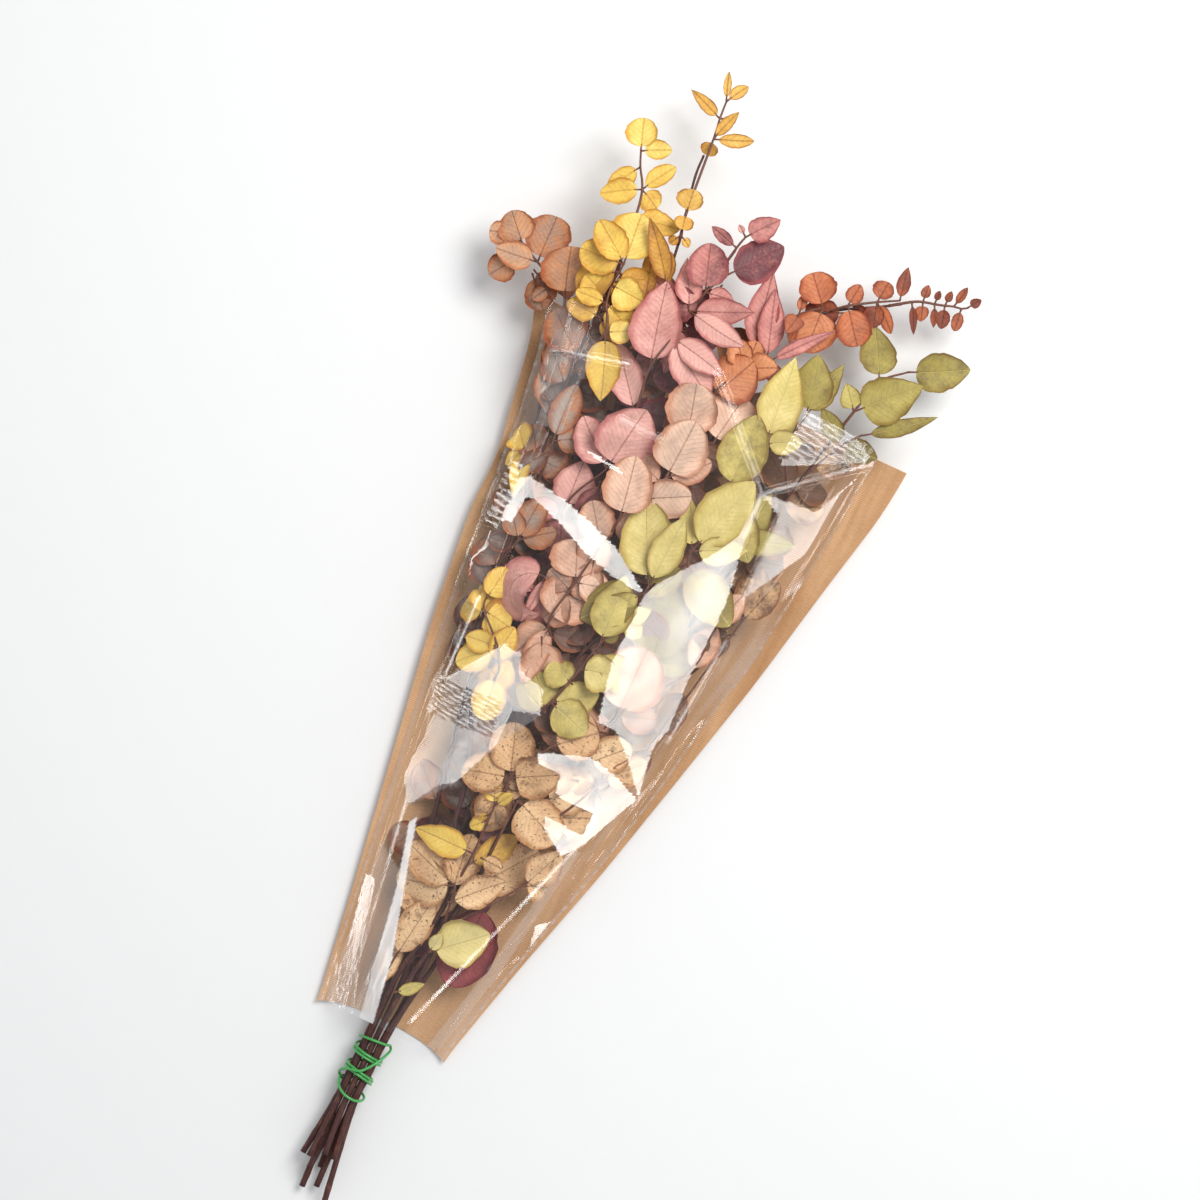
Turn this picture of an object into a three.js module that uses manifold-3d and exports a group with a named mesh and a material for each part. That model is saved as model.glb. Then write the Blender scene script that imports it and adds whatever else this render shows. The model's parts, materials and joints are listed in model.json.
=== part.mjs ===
// A bunch of dyed, preserved eucalyptus, tied with green wire and lying down in an open-ended
// sleeve of brown paper and clear film. Millimetres, +Z up, cut ends towards -Y, tips towards +Y.
// The bunch is laid out from the wire tie: x = 0, y = 0 is the middle of the tie.

import * as THREE from 'three';
import { mergeVertices } from 'three/addons/utils/BufferGeometryUtils.js';
import Module from 'manifold-3d';

const wasm = await Module();
wasm.setup();

// ---------------------------------------------------------------- driving dimensions

const branchLength = 1.0; // multiplies how far every branch reaches past the tie
const leafSize = 1.0; // multiplies every leaf's length and width
const leafThickness = 0.8;
const petioleWidth = 1.0;
const petioleShare = 0.14; // of a leaf's length
const petioleRoot = 0.4; // from the twig's middle line to where the petiole starts
const leafRoom = 1.4; // clear space that a leaf looks for on each face
const fitGap = 0.4; // smallest gap between any two pieces

const stemDiameter = 4.2; // at the tie
const stemTipDiameter = 2.0;
const twigDiameter = 2.2;
const twigTipDiameter = 1.5;
const bundleGap = 0.4; // between neighbouring stems in the tie
const stemCutEnd = 60; // from the tie down to the shortest cut end

const wireDiameter = 1.7;
const wireTurns = 4.5; // inner layer, wound down the bundle
const wireReturnTurns = 2; // outer layer, wound back up over it
const tieLength = 36;

const sleeveBottom = 24; // from the tie up to the sleeve's lower edge
const sleeveLength = 447;
const sleeveBottomWidth = 85;
const sleeveTopWidth = 253;
const sleeveLean = 14; // sideways drift of the sleeve's middle line
const sealWidth = 9; // flat sealed strip along each long edge
const edgeRise = 12; // how far the paper's long edges lift at the top
const flatShare = 0.56; // part of the paper's width that lies flat
const paperThickness = 0.8;
const filmThickness = 0.8;
const filmBottomHeight = 26;
const filmTopHeight = 86;
const filmColumns = 12;
const laidOutHeight = 86; // film height that the heights of routes and nodes are written for

// ---------------------------------------------------------------- materials

function finish(color, roughness) {
  return new THREE.MeshStandardMaterial({ color, roughness, metalness: 0 });
}

const finishes = {
  paper: () => finish(0xc49566, 0.85),
  film: () => finish(0xeef2f4, 0.08),
  wire: () => finish(0x3c9a48, 0.4),
  stem: () => finish(0x4a2622, 0.45),
  tan: () => finish(0xad7d5c, 0.7),
  yellow: () => finish(0xe9c455, 0.7),
  gold: () => finish(0xd79a3a, 0.7),
  mauve: () => finish(0xc98583, 0.7),
  rust: () => finish(0xb96a42, 0.7),
  olive: () => finish(0x9f9150, 0.7),
  lime: () => finish(0xcdc471, 0.7),
  peach: () => finish(0xdba582, 0.7),
  ochre: () => finish(0xbb8a58, 0.7),
  burgundy: () => finish(0x8c3d41, 0.7),
};

// ---------------------------------------------------------------- solids from bent primitives

function solidOf(geometry) {
  const bare = geometry.index ? geometry.clone() : geometry;
  bare.deleteAttribute('normal');
  bare.deleteAttribute('uv');
  const merged = mergeVertices(bare, 1e-4);
  const vertProperties = new Float32Array(merged.attributes.position.array);
  const triVerts = new Uint32Array(merged.index.array);
  return new wasm.Manifold(new wasm.Mesh({ numProp: 3, vertProperties, triVerts }));
}

function geometryOf(solid) {
  const mesh = solid.getMesh();
  const geometry = new THREE.BufferGeometry();
  geometry.setAttribute('position', new THREE.BufferAttribute(mesh.vertProperties, 3));
  geometry.setIndex(new THREE.BufferAttribute(mesh.triVerts, 1));
  geometry.computeVertexNormals();
  return geometry;
}

// Moves every vertex of a closed primitive to the place that a function gives it.
function reshape(geometry, place) {
  const position = geometry.attributes.position;
  for (let i = 0; i < position.count; i += 1) {
    const moved = place(position.getX(i), position.getY(i), position.getZ(i));
    position.setXYZ(i, moved.x, moved.y, moved.z);
  }
  return geometry;
}

function smoothCurve(points) {
  return new THREE.CatmullRomCurve3(points, false, 'centripetal');
}

// A round rod with a ring of corners at each of the curve's own points, which thins from its
// first end to its last. `upright` is a direction that the curve never points in.
function bentRod(curve, sides, startDiameter, endDiameter, upright = new THREE.Vector3(0, 0, 1)) {
  const steps = curve.points.length - 1;
  const rings = curve.points.map((centre, i) => {
    const along = curve.getTangent(i / steps);
    const aside = along.clone().cross(upright).normalize();
    return { centre, aside, lift: aside.clone().cross(along) };
  });
  const rod = new THREE.CylinderGeometry(1, 1, 1, sides, steps);
  return reshape(rod, (x, y, z) => {
    const step = Math.round((0.5 - y) * steps);
    const radius = THREE.MathUtils.lerp(startDiameter, endDiameter, step / steps) / 2;
    const { centre, aside, lift } = rings[step];
    return centre.clone().addScaledVector(aside, z * radius).addScaledVector(lift, x * radius);
  });
}

// ---------------------------------------------------------------- sleeve surfaces

const sleeveTop = sleeveBottom + sleeveLength;

function sleeveAt(y) {
  const u = THREE.MathUtils.clamp((y - sleeveBottom) / sleeveLength, 0, 1);
  const half = THREE.MathUtils.lerp(sleeveBottomWidth, sleeveTopWidth, u) / 2;
  const height = filmBottomHeight + (filmTopHeight - filmBottomHeight) * (1 - (1 - u) ** 1.5);
  return { middle: sleeveLean * u, half, height, rise: edgeRise * (0.3 + 0.7 * u) };
}

function paperTop(across, y) {
  const beyond = Math.max(0, Math.abs(across) - flatShare) / (1 - flatShare);
  return paperThickness + sleeveAt(y).rise * beyond ** 1.5;
}

function filmUnderside(across, y) {
  const { half, height } = sleeveAt(y);
  const inner = 1 - sealWidth / half;
  const resting = paperTop(across, y) + fitGap;
  const share = Math.abs(across) / inner;
  return share >= 1 ? resting : resting + (height - resting) * (1 - share ** 4) ** 0.6;
}

// The film is as thick across its slopes as where it lies flat.
function filmTop(across, y) {
  const step = 2 / filmColumns;
  const here = filmUnderside(across, y);
  const beside = [across - step, across + step].filter((place) => Math.abs(place) < 1 + step / 2);
  const rises = beside.map((place) => Math.abs(filmUnderside(place, y) - here));
  return here + filmThickness * Math.hypot(1, Math.max(...rises) / (step * sleeveAt(y).half));
}

// A thin sheet over the sleeve's outline, between the heights that two functions give.
function sleeveSheet(columns, rows, lower, upper) {
  const sheet = new THREE.BoxGeometry(2, 1, 1, columns, rows, 1);
  return reshape(sheet, (across, along, face) => {
    const y = sleeveBottom + sleeveLength * (along + 0.5);
    const { middle, half } = sleeveAt(y);
    const height = face > 0 ? upper : lower;
    return new THREE.Vector3(middle + across * half, y, height(across, y));
  });
}

function paperBack() {
  return sleeveSheet(10, 3, (across, y) => paperTop(across, y) - paperThickness, paperTop);
}

function clearFront() {
  return sleeveSheet(filmColumns, 6, filmUnderside, filmTop);
}

// ---------------------------------------------------------------- stems

// Eight stems stand in a ring round one middle stem where the wire holds them.
const ringCount = 8;
const ringRadius = (stemDiameter + bundleGap) / (2 * Math.sin(Math.PI / ringCount));
const bundleRadius = ringRadius + stemDiameter / 2;
const wireInnerRadius = bundleRadius + fitGap + wireDiameter / 2;
const wireOuterRadius = wireInnerRadius + wireDiameter + fitGap;
const tieHeight = wireOuterRadius + wireDiameter / 2 + fitGap;

// slot: degrees round the ring, or null for the middle. cut: sideways, how much longer than the
// shortest stem, and height of the cut end. route: points past the tie.
const stems = {
  tan: {
    slot: 180,
    cut: [-9.5, 1, 12],
    route: [[-9, 60, 15], [-30, 170, 16], [-62, 330, 20], [-84, 440, 29], [-90, 468, 33]],
  },
  yellow: {
    slot: 135,
    cut: [-5, 0, 19],
    route: [
      [-5, 60, 22], [2, 122, 33], [-13, 158, 38], [-21, 195, 40], [-44, 245, 38], [-57, 280, 36],
      [-58, 310, 38], [-64, 380, 44], [-70, 440, 51], [-71, 480, 55], [-71, 506, 57],
    ],
  },
  gold: {
    slot: null,
    cut: [-2, 8, 13],
    route: [
      [-1, 60, 15], [-8, 160, 20], [-20, 290, 26], [-34, 400, 34], [-41, 480, 48], [-44, 522, 54],
      [-49, 548, 52], [-54, 572, 50], [-55, 586, 48],
    ],
  },
  mauve: {
    slot: 225,
    cut: [-1, 21, 6],
    route: [
      [-5, 60, 9], [-6, 160, 12], [-12, 290, 18], [-22, 400, 36], [-26, 450, 52], [-21, 492, 60],
      [-16, 525, 62], [-13, 542, 61],
    ],
  },
  rust: {
    slot: 270,
    cut: [4, 6, 4],
    route: [
      [1, 60, 6], [10, 200, 8], [18, 330, 12], [24, 430, 26], [28, 490, 38], [33, 518, 38],
      [45, 529, 36], [60, 541, 33], [77, 551, 31], [91, 560, 29],
    ],
  },
  peach: {
    slot: 315,
    cut: [7, 17, 8],
    route: [
      [6, 60, 9], [4, 160, 20], [-2, 260, 34], [-6, 330, 46], [0, 370, 54], [8, 400, 58],
      [16, 428, 58],
    ],
  },
  olive: {
    slot: 0,
    cut: [16, 26, 12],
    route: [[10, 60, 13], [30, 180, 16], [55, 300, 22], [73, 390, 32], [85, 450, 40], [91, 478, 40]],
  },
  lime: {
    slot: 45,
    cut: [9, -4, 17],
    route: [
      [8, 60, 21], [4, 130, 26], [-3, 180, 34], [-4, 230, 42], [3, 258, 46], [11, 290, 50],
      [22, 315, 53], [29, 337, 58], [37, 365, 62], [41, 396, 62],
    ],
  },
  ochre: {
    slot: 90,
    cut: [3, -5, 21],
    route: [[2, 60, 27], [9, 105, 32], [13, 135, 35], [13, 170, 39], [14, 200, 43], [21, 224, 46]],
  },
};

// Stretches a place past the tie along the branch, and keeps its share of the room that the
// film leaves.
function reach([x, y, z]) {
  return new THREE.Vector3(x, y * branchLength, z * (filmTopHeight / laidOutHeight));
}

function stemCurve({ slot, cut, route }) {
  const angle = THREE.MathUtils.degToRad(slot ?? 0);
  const radius = slot === null ? 0 : ringRadius;
  const x = radius * Math.cos(angle);
  const z = tieHeight + radius * Math.sin(angle);
  const cutEnd = new THREE.Vector3(cut[0], -(stemCutEnd + cut[1]), cut[2]);
  const held = [-0.65, 0, 0.65].map((share) => new THREE.Vector3(x, share * tieLength, z));
  return smoothCurve([cutEnd, ...held, ...route.map(reach)]);
}

// ---------------------------------------------------------------- wire tie

function wireTie() {
  const points = [];
  const pointsPerTurn = 9;
  const down = wireTurns * pointsPerTurn;
  const up = wireReturnTurns * pointsPerTurn;
  const halfTie = tieLength / 2;
  const slant = 0.16 * tieLength;
  for (let i = 0; i <= down + up; i += 1) {
    const angle = (2 * Math.PI * i) / pointsPerTurn;
    const returning = Math.max(0, i - down) / up;
    const outward = THREE.MathUtils.smoothstep(returning, 0, 0.12);
    const radius = THREE.MathUtils.lerp(wireInnerRadius, wireOuterRadius, outward);
    const wound = Math.min(1, i / down);
    const lean = slant * Math.cos(angle) * outward;
    const y = halfTie * (1 - 2 * wound + 1.7 * returning) + lean;
    const end = Math.max(0, returning - 0.94) / 0.06;
    const away = radius + 4 * end;
    points.push(new THREE.Vector3(away * Math.cos(angle), y, tieHeight + away * Math.sin(angle)));
  }
  const route = smoothCurve(points);
  return bentRod(route, 5, wireDiameter, wireDiameter, new THREE.Vector3(0, 1, 0));
}

// ---------------------------------------------------------------- leaves and sprays

const twigSides = 4;

// A spray leaves its stem at `from`, runs through its nodes, and carries leaves at them.
// A leaf is [node, heading, length, width]; heading 0 points at the tips, 90 towards +X.
const sprays = {
  tan_tip_spray: {
    stem: 'tan', finish: 'tan', from: 450,
    nodes: [[-93, 474, 38], [-104, 480, 39], [-117, 486, 38], [-130, 492, 36], [-138, 495, 34]],
    leaves: [
      [0, -20, 29, 26], [1, 96, 15, 11], [2, -4, 27, 23], [2, -120, 24, 14], [3, -46, 19, 19],
      [4, -108, 13, 12],
    ],
  },
  tan_outer_spray: {
    stem: 'tan', finish: 'tan', from: 400,
    nodes: [[-86, 434, 36], [-77, 454, 43], [-73, 463, 45]],
    leaves: [
      [0, -12, 27, 13], [0, 172, 28, 14], [1, -168, 22, 18], [1, 128, 20, 17], [2, -84, 25, 17],
      [2, -36, 17, 17],
    ],
  },
  tan_middle_spray: {
    stem: 'tan', finish: 'tan', from: 335,
    nodes: [[-62, 368, 40], [-64, 393, 50]],
    leaves: [[0, 4, 24, 18], [0, -70, 20, 14], [1, -6, 33, 15], [1, 52, 20, 13]],
  },
  tan_lower_spray: {
    stem: 'tan', finish: 'tan', from: 275,
    nodes: [[-60, 303, 32], [-54, 331, 44]],
    leaves: [[0, -58, 17, 13], [1, 2, 25, 16], [1, 50, 21, 15], [1, -60, 21, 12]],
  },
  yellow_tip_spray: {
    stem: 'yellow', finish: 'yellow', from: 500,
    nodes: [[-75, 533, 55], [-79, 551, 53], [-86, 563, 50], [-90, 572, 48]],
    leaves: [
      [3, -22, 18, 16], [3, 62, 17, 10], [2, -148, 22, 11], [1, 27, 22, 10], [1, -118, 23, 13],
      [1, 122, 13, 12], [0, 74, 25, 14],
    ],
  },
  yellow_crown_spray: {
    stem: 'yellow', finish: 'yellow', from: 490,
    nodes: [[-69, 505, 63]],
    leaves: [[0, -6, 29, 25], [0, -95, 25, 18], [0, -52, 27, 16]],
  },
  yellow_upper_spray: {
    stem: 'yellow', finish: 'yellow', from: 440,
    nodes: [[-61, 464, 62], [-68, 480, 60], [-70, 491, 59]],
    leaves: [[2, 92, 19, 17], [1, 112, 21, 16], [1, -98, 18, 9], [0, 156, 37, 18], [0, 62, 16, 12]],
  },
  yellow_outer_spray: {
    stem: 'yellow', finish: 'yellow', from: 350,
    nodes: [[-74, 381, 38]],
    leaves: [[0, -46, 20, 15], [0, 169, 28, 11], [0, -140, 15, 9]],
  },
  yellow_middle_spray: {
    stem: 'yellow', finish: 'yellow', from: 236,
    nodes: [[-30, 252, 48], [-37, 268, 50], [-54, 284, 45], [-56, 291, 44]],
    leaves: [
      [0, 172, 25, 17], [1, -96, 20, 12], [1, -122, 26, 17], [2, -92, 21, 20], [2, 98, 17, 19],
      [3, 10, 20, 14],
    ],
  },
  yellow_lower_spray: {
    stem: 'yellow', finish: 'yellow', from: 118,
    nodes: [[4, 150, 38], [3, 182, 43]],
    leaves: [[0, -92, 35, 15], [1, -24, 13, 10], [1, 32, 13, 6]],
  },
  gold_tip_spray: {
    stem: 'gold', finish: 'gold', from: 530,
    nodes: [
      [-46, 536, 59], [-49, 549, 57], [-51, 570, 54], [-54, 597, 50], [-56, 610, 48], [-57, 621, 47],
    ],
    leaves: [
      [5, -24, 17, 4.5], [5, 26, 15, 7], [4, -70, 22, 7.5], [4, 62, 9, 3], [3, 70, 22, 8],
      [3, 14, 20, 7], [3, 176, 10, 10], [1, -8, 14, 15], [1, 170, 12, 11], [0, -150, 8, 6],
      [0, 120, 8, 5],
    ],
  },
  gold_long_spray: {
    stem: 'gold', finish: 'gold', from: 455,
    nodes: [[-46, 482, 57], [-40, 504, 62]],
    leaves: [[0, -15, 45, 10], [1, -36, 39, 12], [1, -22, 20, 8]],
  },
  mauve_tip_spray: {
    stem: 'mauve', finish: 'mauve', from: 520,
    nodes: [[-13, 543, 65], [-11, 551, 65]],
    leaves: [[1, 36, 21, 14], [0, -75, 18, 7], [1, -52, 8, 3.5]],
  },
  mauve_crown_spray: {
    stem: 'mauve', finish: 'mauve', from: 490,
    nodes: [[-18, 511, 67], [-11, 526, 67]],
    leaves: [[1, 40, 35, 23], [0, -22, 27, 23], [0, 80, 16, 11]],
  },
  mauve_upper_spray: {
    stem: 'mauve', finish: 'mauve', from: 475,
    nodes: [[-22, 497, 66]],
    leaves: [[0, -20, 29, 15], [0, 76, 38, 16], [0, 104, 40, 15]],
  },
  mauve_broad_spray: {
    stem: 'mauve', finish: 'mauve', from: 405,
    nodes: [[-24, 428, 58], [-28, 456, 68], [-24, 478, 70]],
    leaves: [[0, -38, 42, 17], [1, -16, 44, 26], [2, 124, 36, 21], [2, 98, 32, 14]],
  },
  mauve_right_spray: {
    stem: 'rust', finish: 'mauve', from: 470,
    nodes: [[24, 491, 50], [33, 491, 52]],
    leaves: [[0, -14, 48, 18], [1, -20, 40, 15], [1, 38, 42, 8], [1, 122, 15, 10]],
  },
  mauve_middle_spray: {
    stem: 'mauve', finish: 'mauve', from: 325,
    nodes: [[-37, 360, 46], [-25, 392, 56]],
    leaves: [[0, -6, 28, 23], [0, 36, 25, 16], [1, 8, 38, 33], [1, -50, 32, 22]],
  },
  mauve_curled_spray: {
    stem: 'mauve', finish: 'mauve', from: 290,
    nodes: [[-30, 318, 52]],
    leaves: [[0, -94, 28, 24], [0, 178, 22, 5]],
  },
  mauve_lower_spray: {
    stem: 'mauve', finish: 'mauve', from: 85,
    nodes: [[9, 110, 25], [5, 153, 33]],
    leaves: [[0, 6, 36, 12], [1, 8, 37, 12]],
  },
  rust_tip_spray: {
    stem: 'rust', finish: 'rust', from: 556,
    nodes: [
      [96, 564, 30], [102, 567, 29], [109, 569, 28], [115, 571, 27], [120, 573, 26], [125, 574, 25],
      [128, 576, 24],
    ],
    leaves: [
      [0, 150, 18, 4], [1, -8, 10, 5], [1, 166, 11, 7], [2, -4, 8, 3.5], [2, 155, 13, 4],
      [3, 0, 9, 4], [3, 164, 13, 7], [4, 14, 13, 4.5], [5, 175, 13, 6], [6, 32, 9, 5],
    ],
  },
  rust_outer_spray: {
    stem: 'rust', finish: 'rust', from: 536,
    nodes: [[62, 544, 38], [77, 554, 36], [89, 561, 34]],
    leaves: [
      [2, -14, 19, 7], [1, 4, 13, 11], [1, 166, 14, 10], [1, 124, 20, 7], [0, 142, 23, 18],
      [0, 6, 14, 9],
    ],
  },
  rust_inner_spray: {
    stem: 'rust', finish: 'rust', from: 512,
    nodes: [[38, 526, 42], [49, 536, 42]],
    leaves: [[1, -42, 20, 19], [1, 175, 26, 22], [0, 170, 17, 5], [0, -12, 12, 5], [0, 188, 24, 10]],
  },
  orange_spray: {
    stem: 'rust', finish: 'rust', from: 430,
    nodes: [[13, 458, 60], [23, 481, 60]],
    leaves: [[0, 24, 29, 25], [1, -42, 17, 13], [1, -2, 17, 13], [1, 62, 18, 14]],
  },
  olive_tip_spray: {
    stem: 'olive', finish: 'olive', from: 468,
    nodes: [[93, 488, 43], [99, 511, 41], [112, 524, 39]],
    leaves: [[2, 64, 35, 23], [1, -28, 32, 22], [0, 42, 40, 28], [0, -42, 16, 13]],
  },
  olive_side_spray: {
    stem: 'olive', finish: 'olive', from: 440,
    nodes: [[95, 466, 44], [103, 477, 44]],
    leaves: [[1, 55, 43, 10], [0, 84, 21, 15], [0, -52, 24, 13]],
  },
  olive_upper_spray: {
    stem: 'olive', finish: 'olive', from: 425,
    nodes: [[66, 450, 50], [68, 472, 54]],
    leaves: [[1, -12, 34, 24], [1, 8, 37, 15], [0, -36, 30, 16]],
  },
  olive_inner_spray: {
    stem: 'olive', finish: 'olive', from: 270,
    nodes: [[50, 298, 44], [66, 388, 50]],
    leaves: [[0, -10, 46, 34], [0, 60, 26, 18], [1, 6, 32, 18], [1, 66, 30, 16]],
  },
  lime_tip_spray: {
    stem: 'lime', finish: 'lime', from: 388,
    nodes: [[46, 411, 68], [53, 446, 66]],
    leaves: [[0, -8, 44, 27], [1, -6, 50, 25], [1, 62, 20, 14]],
  },
  lime_broad_spray: {
    stem: 'lime', finish: 'lime', from: 355,
    nodes: [[42, 370, 68]],
    leaves: [[0, 16, 50, 29], [0, -18, 30, 13], [0, 66, 30, 16]],
  },
  lime_upper_spray: {
    stem: 'lime', finish: 'lime', from: 326,
    nodes: [[28, 340, 65]],
    leaves: [[0, -30, 48, 31], [0, 2, 42, 18]],
  },
  lime_middle_spray: {
    stem: 'lime', finish: 'lime', from: 240,
    nodes: [[6, 252, 52], [13, 278, 57], [17, 296, 58], [24, 316, 60]],
    leaves: [
      [0, 56, 27, 20], [1, 76, 21, 21], [2, -6, 40, 23], [3, 48, 15, 10], [3, 112, 13, 11],
      [0, 104, 26, 22],
    ],
  },
  lime_lower_spray: {
    stem: 'ochre', finish: 'lime', from: 66,
    nodes: [[6, 84, 33]],
    leaves: [[0, 48, 35, 28], [0, 8, 14, 8]],
  },
  peach_tip_spray: {
    stem: 'peach', finish: 'peach', from: 385,
    nodes: [[9, 402, 68], [10, 427, 68], [25, 432, 66]],
    leaves: [[0, 3, 35, 27], [1, -14, 31, 26], [2, 8, 33, 27], [0, 48, 26, 14]],
  },
  peach_upper_spray: {
    stem: 'peach', finish: 'peach', from: 345,
    nodes: [[-5, 368, 64], [4, 386, 62]],
    leaves: [[0, 2, 35, 25], [1, 62, 25, 21]],
  },
  peach_middle_spray: {
    stem: 'peach', finish: 'peach', from: 280,
    nodes: [[-16, 295, 56], [-12, 323, 58], [-8, 349, 60]],
    leaves: [[0, 12, 31, 28], [1, -24, 25, 25], [2, -30, 25, 18], [1, 76, 18, 16]],
  },
  peach_inner_spray: {
    stem: 'peach', finish: 'peach', from: 262,
    nodes: [[-14, 294, 46]],
    leaves: [[0, -152, 26, 18], [0, 179, 35, 13], [0, 146, 32, 15]],
  },
  peach_right_spray: {
    stem: 'olive', finish: 'peach', from: 225,
    nodes: [[45, 262, 46], [72, 304, 48], [75, 334, 50]],
    leaves: [[0, -2, 40, 32], [1, 6, 31, 15], [2, 10, 24, 13], [0, 70, 24, 16]],
  },
  brown_side_spray: {
    stem: 'olive', finish: 'ochre', from: 180,
    nodes: [[60, 222, 28], [72, 258, 32], [88, 345, 36]],
    leaves: [[0, 34, 30, 15], [1, 20, 32, 15], [2, 36, 30, 15], [2, -10, 34, 16]],
  },
  ochre_tip_spray: {
    stem: 'ochre', finish: 'ochre', from: 172,
    nodes: [[4, 201, 50], [18, 229, 54]],
    leaves: [[0, -14, 30, 23], [0, -104, 27, 21], [0, 60, 27, 23], [1, 48, 27, 21]],
  },
  ochre_right_spray: {
    stem: 'ochre', finish: 'ochre', from: 182,
    nodes: [[28, 197, 42], [38, 190, 42], [42, 229, 46], [54, 224, 44]],
    leaves: [
      [0, 48, 27, 20], [1, 64, 28, 20], [2, 44, 25, 19], [3, 56, 29, 18], [2, -28, 27, 13],
    ],
  },
  ochre_middle_spray: {
    stem: 'ochre', finish: 'ochre', from: 108,
    nodes: [[13, 130, 30], [17, 160, 33], [14, 191, 46]],
    leaves: [[0, 24, 44, 26], [2, 112, 31, 25]],
  },
  ochre_side_spray: {
    stem: 'ochre', finish: 'ochre', from: 100,
    nodes: [[20, 122, 34], [40, 145, 34]],
    leaves: [[1, 20, 27, 22], [1, 68, 21, 16]],
  },
  ochre_left_spray: {
    stem: 'ochre', finish: 'ochre', from: 96,
    nodes: [[3, 128, 42]],
    leaves: [[0, -78, 36, 19], [0, -114, 38, 24]],
  },
  ochre_lower_spray: {
    stem: 'yellow', finish: 'ochre', from: 34,
    nodes: [[-12, 50, 24], [-11, 72, 28]],
    leaves: [[1, 8, 34, 15], [0, 4, 29, 10]],
  },
  burgundy_spray: {
    stem: 'olive', finish: 'burgundy', from: 100,
    nodes: [[24, 127, 24]],
    leaves: [[0, 172, 52, 29]],
  },
};

// Leaves that have broken off and lie loose under the film: place, heading, length, width.
const looseLeaves = {
  loose_crescent_leaf: { finish: 'lime', at: [-2, 53, 30], leaf: [0, 52, 17, 7] },
  loose_oval_leaf: { finish: 'ochre', at: [9, 150, 45], leaf: [0, 92, 13, 9] },
};

// A leaf's outline, from its petiole to its tip. `grow` widens it all round.
function leafOutline(length, width, petiole, grow) {
  const half = width / 2;
  const stalk = petioleWidth / 2;
  const blade = length - petiole;
  const side = [
    [stalk + grow, petiole],
    [half + grow, petiole + blade * 0.3],
    [half * 0.8 + grow, petiole + blade * 0.74],
  ];
  const points = [
    [stalk + grow, petioleRoot],
    ...side,
    [0, length + grow],
    ...side.map(([x, y]) => [-x, y]).reverse(),
    [-stalk - grow, petioleRoot],
  ];
  return new THREE.Shape(points.map(([x, y]) => new THREE.Vector2(x, y)));
}

// The blade alone, without its petiole.
function bladeOutline(length, width, petiole, grow) {
  const start = petiole + 0.12 * length;
  const half = width / 2;
  const span = length - start;
  const points = [
    [half * 0.6 + grow, start],
    [half * 0.86 + grow, start + span * 0.2],
    [half * 0.84 + grow, start + span * 0.64],
    [0, length + grow],
    [-half * 0.84 - grow, start + span * 0.64],
    [-half * 0.86 - grow, start + span * 0.2],
    [-half * 0.6 - grow, start],
  ];
  return new THREE.Shape(points.map(([x, y]) => new THREE.Vector2(x, y)));
}

function plate(outline, thickness) {
  const geometry = new THREE.ExtrudeGeometry(outline, { depth: thickness, bevelEnabled: false });
  return geometry.translate(0, 0, -thickness / 2);
}

function leafPose(at, heading, pose) {
  const radians = THREE.MathUtils.degToRad;
  const turned = new THREE.Euler(radians(pose.pitch), radians(pose.roll), 0, 'XYZ');
  const matrix = new THREE.Matrix4().makeRotationZ(-radians(heading + pose.turn));
  matrix.multiply(new THREE.Matrix4().makeRotationFromEuler(turned));
  return matrix.setPosition(at);
}

// ---------------------------------------------------------------- finding room

const placed = []; // { owner, box, solid } of everything that already has its place

function boxOf(geometry) {
  geometry.computeBoundingBox();
  return geometry.boundingBox.clone();
}

function settle(owner, geometry) {
  placed.push({ owner, box: boxOf(geometry), solid: solidOf(geometry) });
}

function isClear(geometry, matters) {
  const box = boxOf(geometry);
  const near = placed.filter((other) => matters(other.owner) && box.intersectsBox(other.box));
  if (near.length === 0) return true;
  const probe = solidOf(geometry);
  return near.every((other) => probe.intersect(other.solid).isEmpty());
}

// Whether every corner lies above the surface below it and, along the sleeve, under the film.
function isHeld(geometry) {
  const position = geometry.attributes.position;
  for (let i = 0; i < position.count; i += 1) {
    const y = position.getY(i);
    const z = position.getZ(i);
    if (z < fitGap) return false;
    if (y > sleeveBottom - 4 && y < sleeveTop + 4) {
      const { middle, half } = sleeveAt(y);
      const across = (position.getX(i) - middle) / half;
      if (Math.abs(across) > 1 - sealWidth / half) return false;
      if (z < paperTop(across, y) + fitGap) return false;
      if (z > filmUnderside(across, y) - fitGap) return false;
    }
  }
  return true;
}

// Every change of pose within the given angles, the gentlest first.
function poseChanges(pitches, rolls, turns) {
  const changes = [];
  for (const pitch of pitches) {
    for (const roll of rolls) {
      for (const turn of turns) {
        const effort = Math.abs(pitch) + 0.8 * Math.abs(roll) + 1.6 * Math.abs(turn);
        changes.push({ pitch, roll, turn, effort });
      }
    }
  }
  return changes.sort((a, b) => a.effort - b.effort);
}

const gentlePoses = poseChanges(
  [0, 7, -7, 14, -14, 21, -21, 28, -28, 38, -38, 50, -50],
  [0, 10, -10, 20, -20, 32, -32, 45, -45],
  [0, 6, -6, 12, -12, 20, -20],
);
const widePoses = poseChanges(
  [0, 12, -12, 24, -24, 36, -36, 48, -48, 62, -62],
  [0, 16, -16, 34, -34, 55, -55],
  [0, 30, -30, 45, -45, 60, -60, 80, -80, 105, -105],
);

// Small natural unevenness that is the same on every run.
function uneven(index) {
  const wave = Math.sin(index * 12.9898) * 43758.5453;
  return wave - Math.floor(wave) - 0.5;
}

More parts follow.
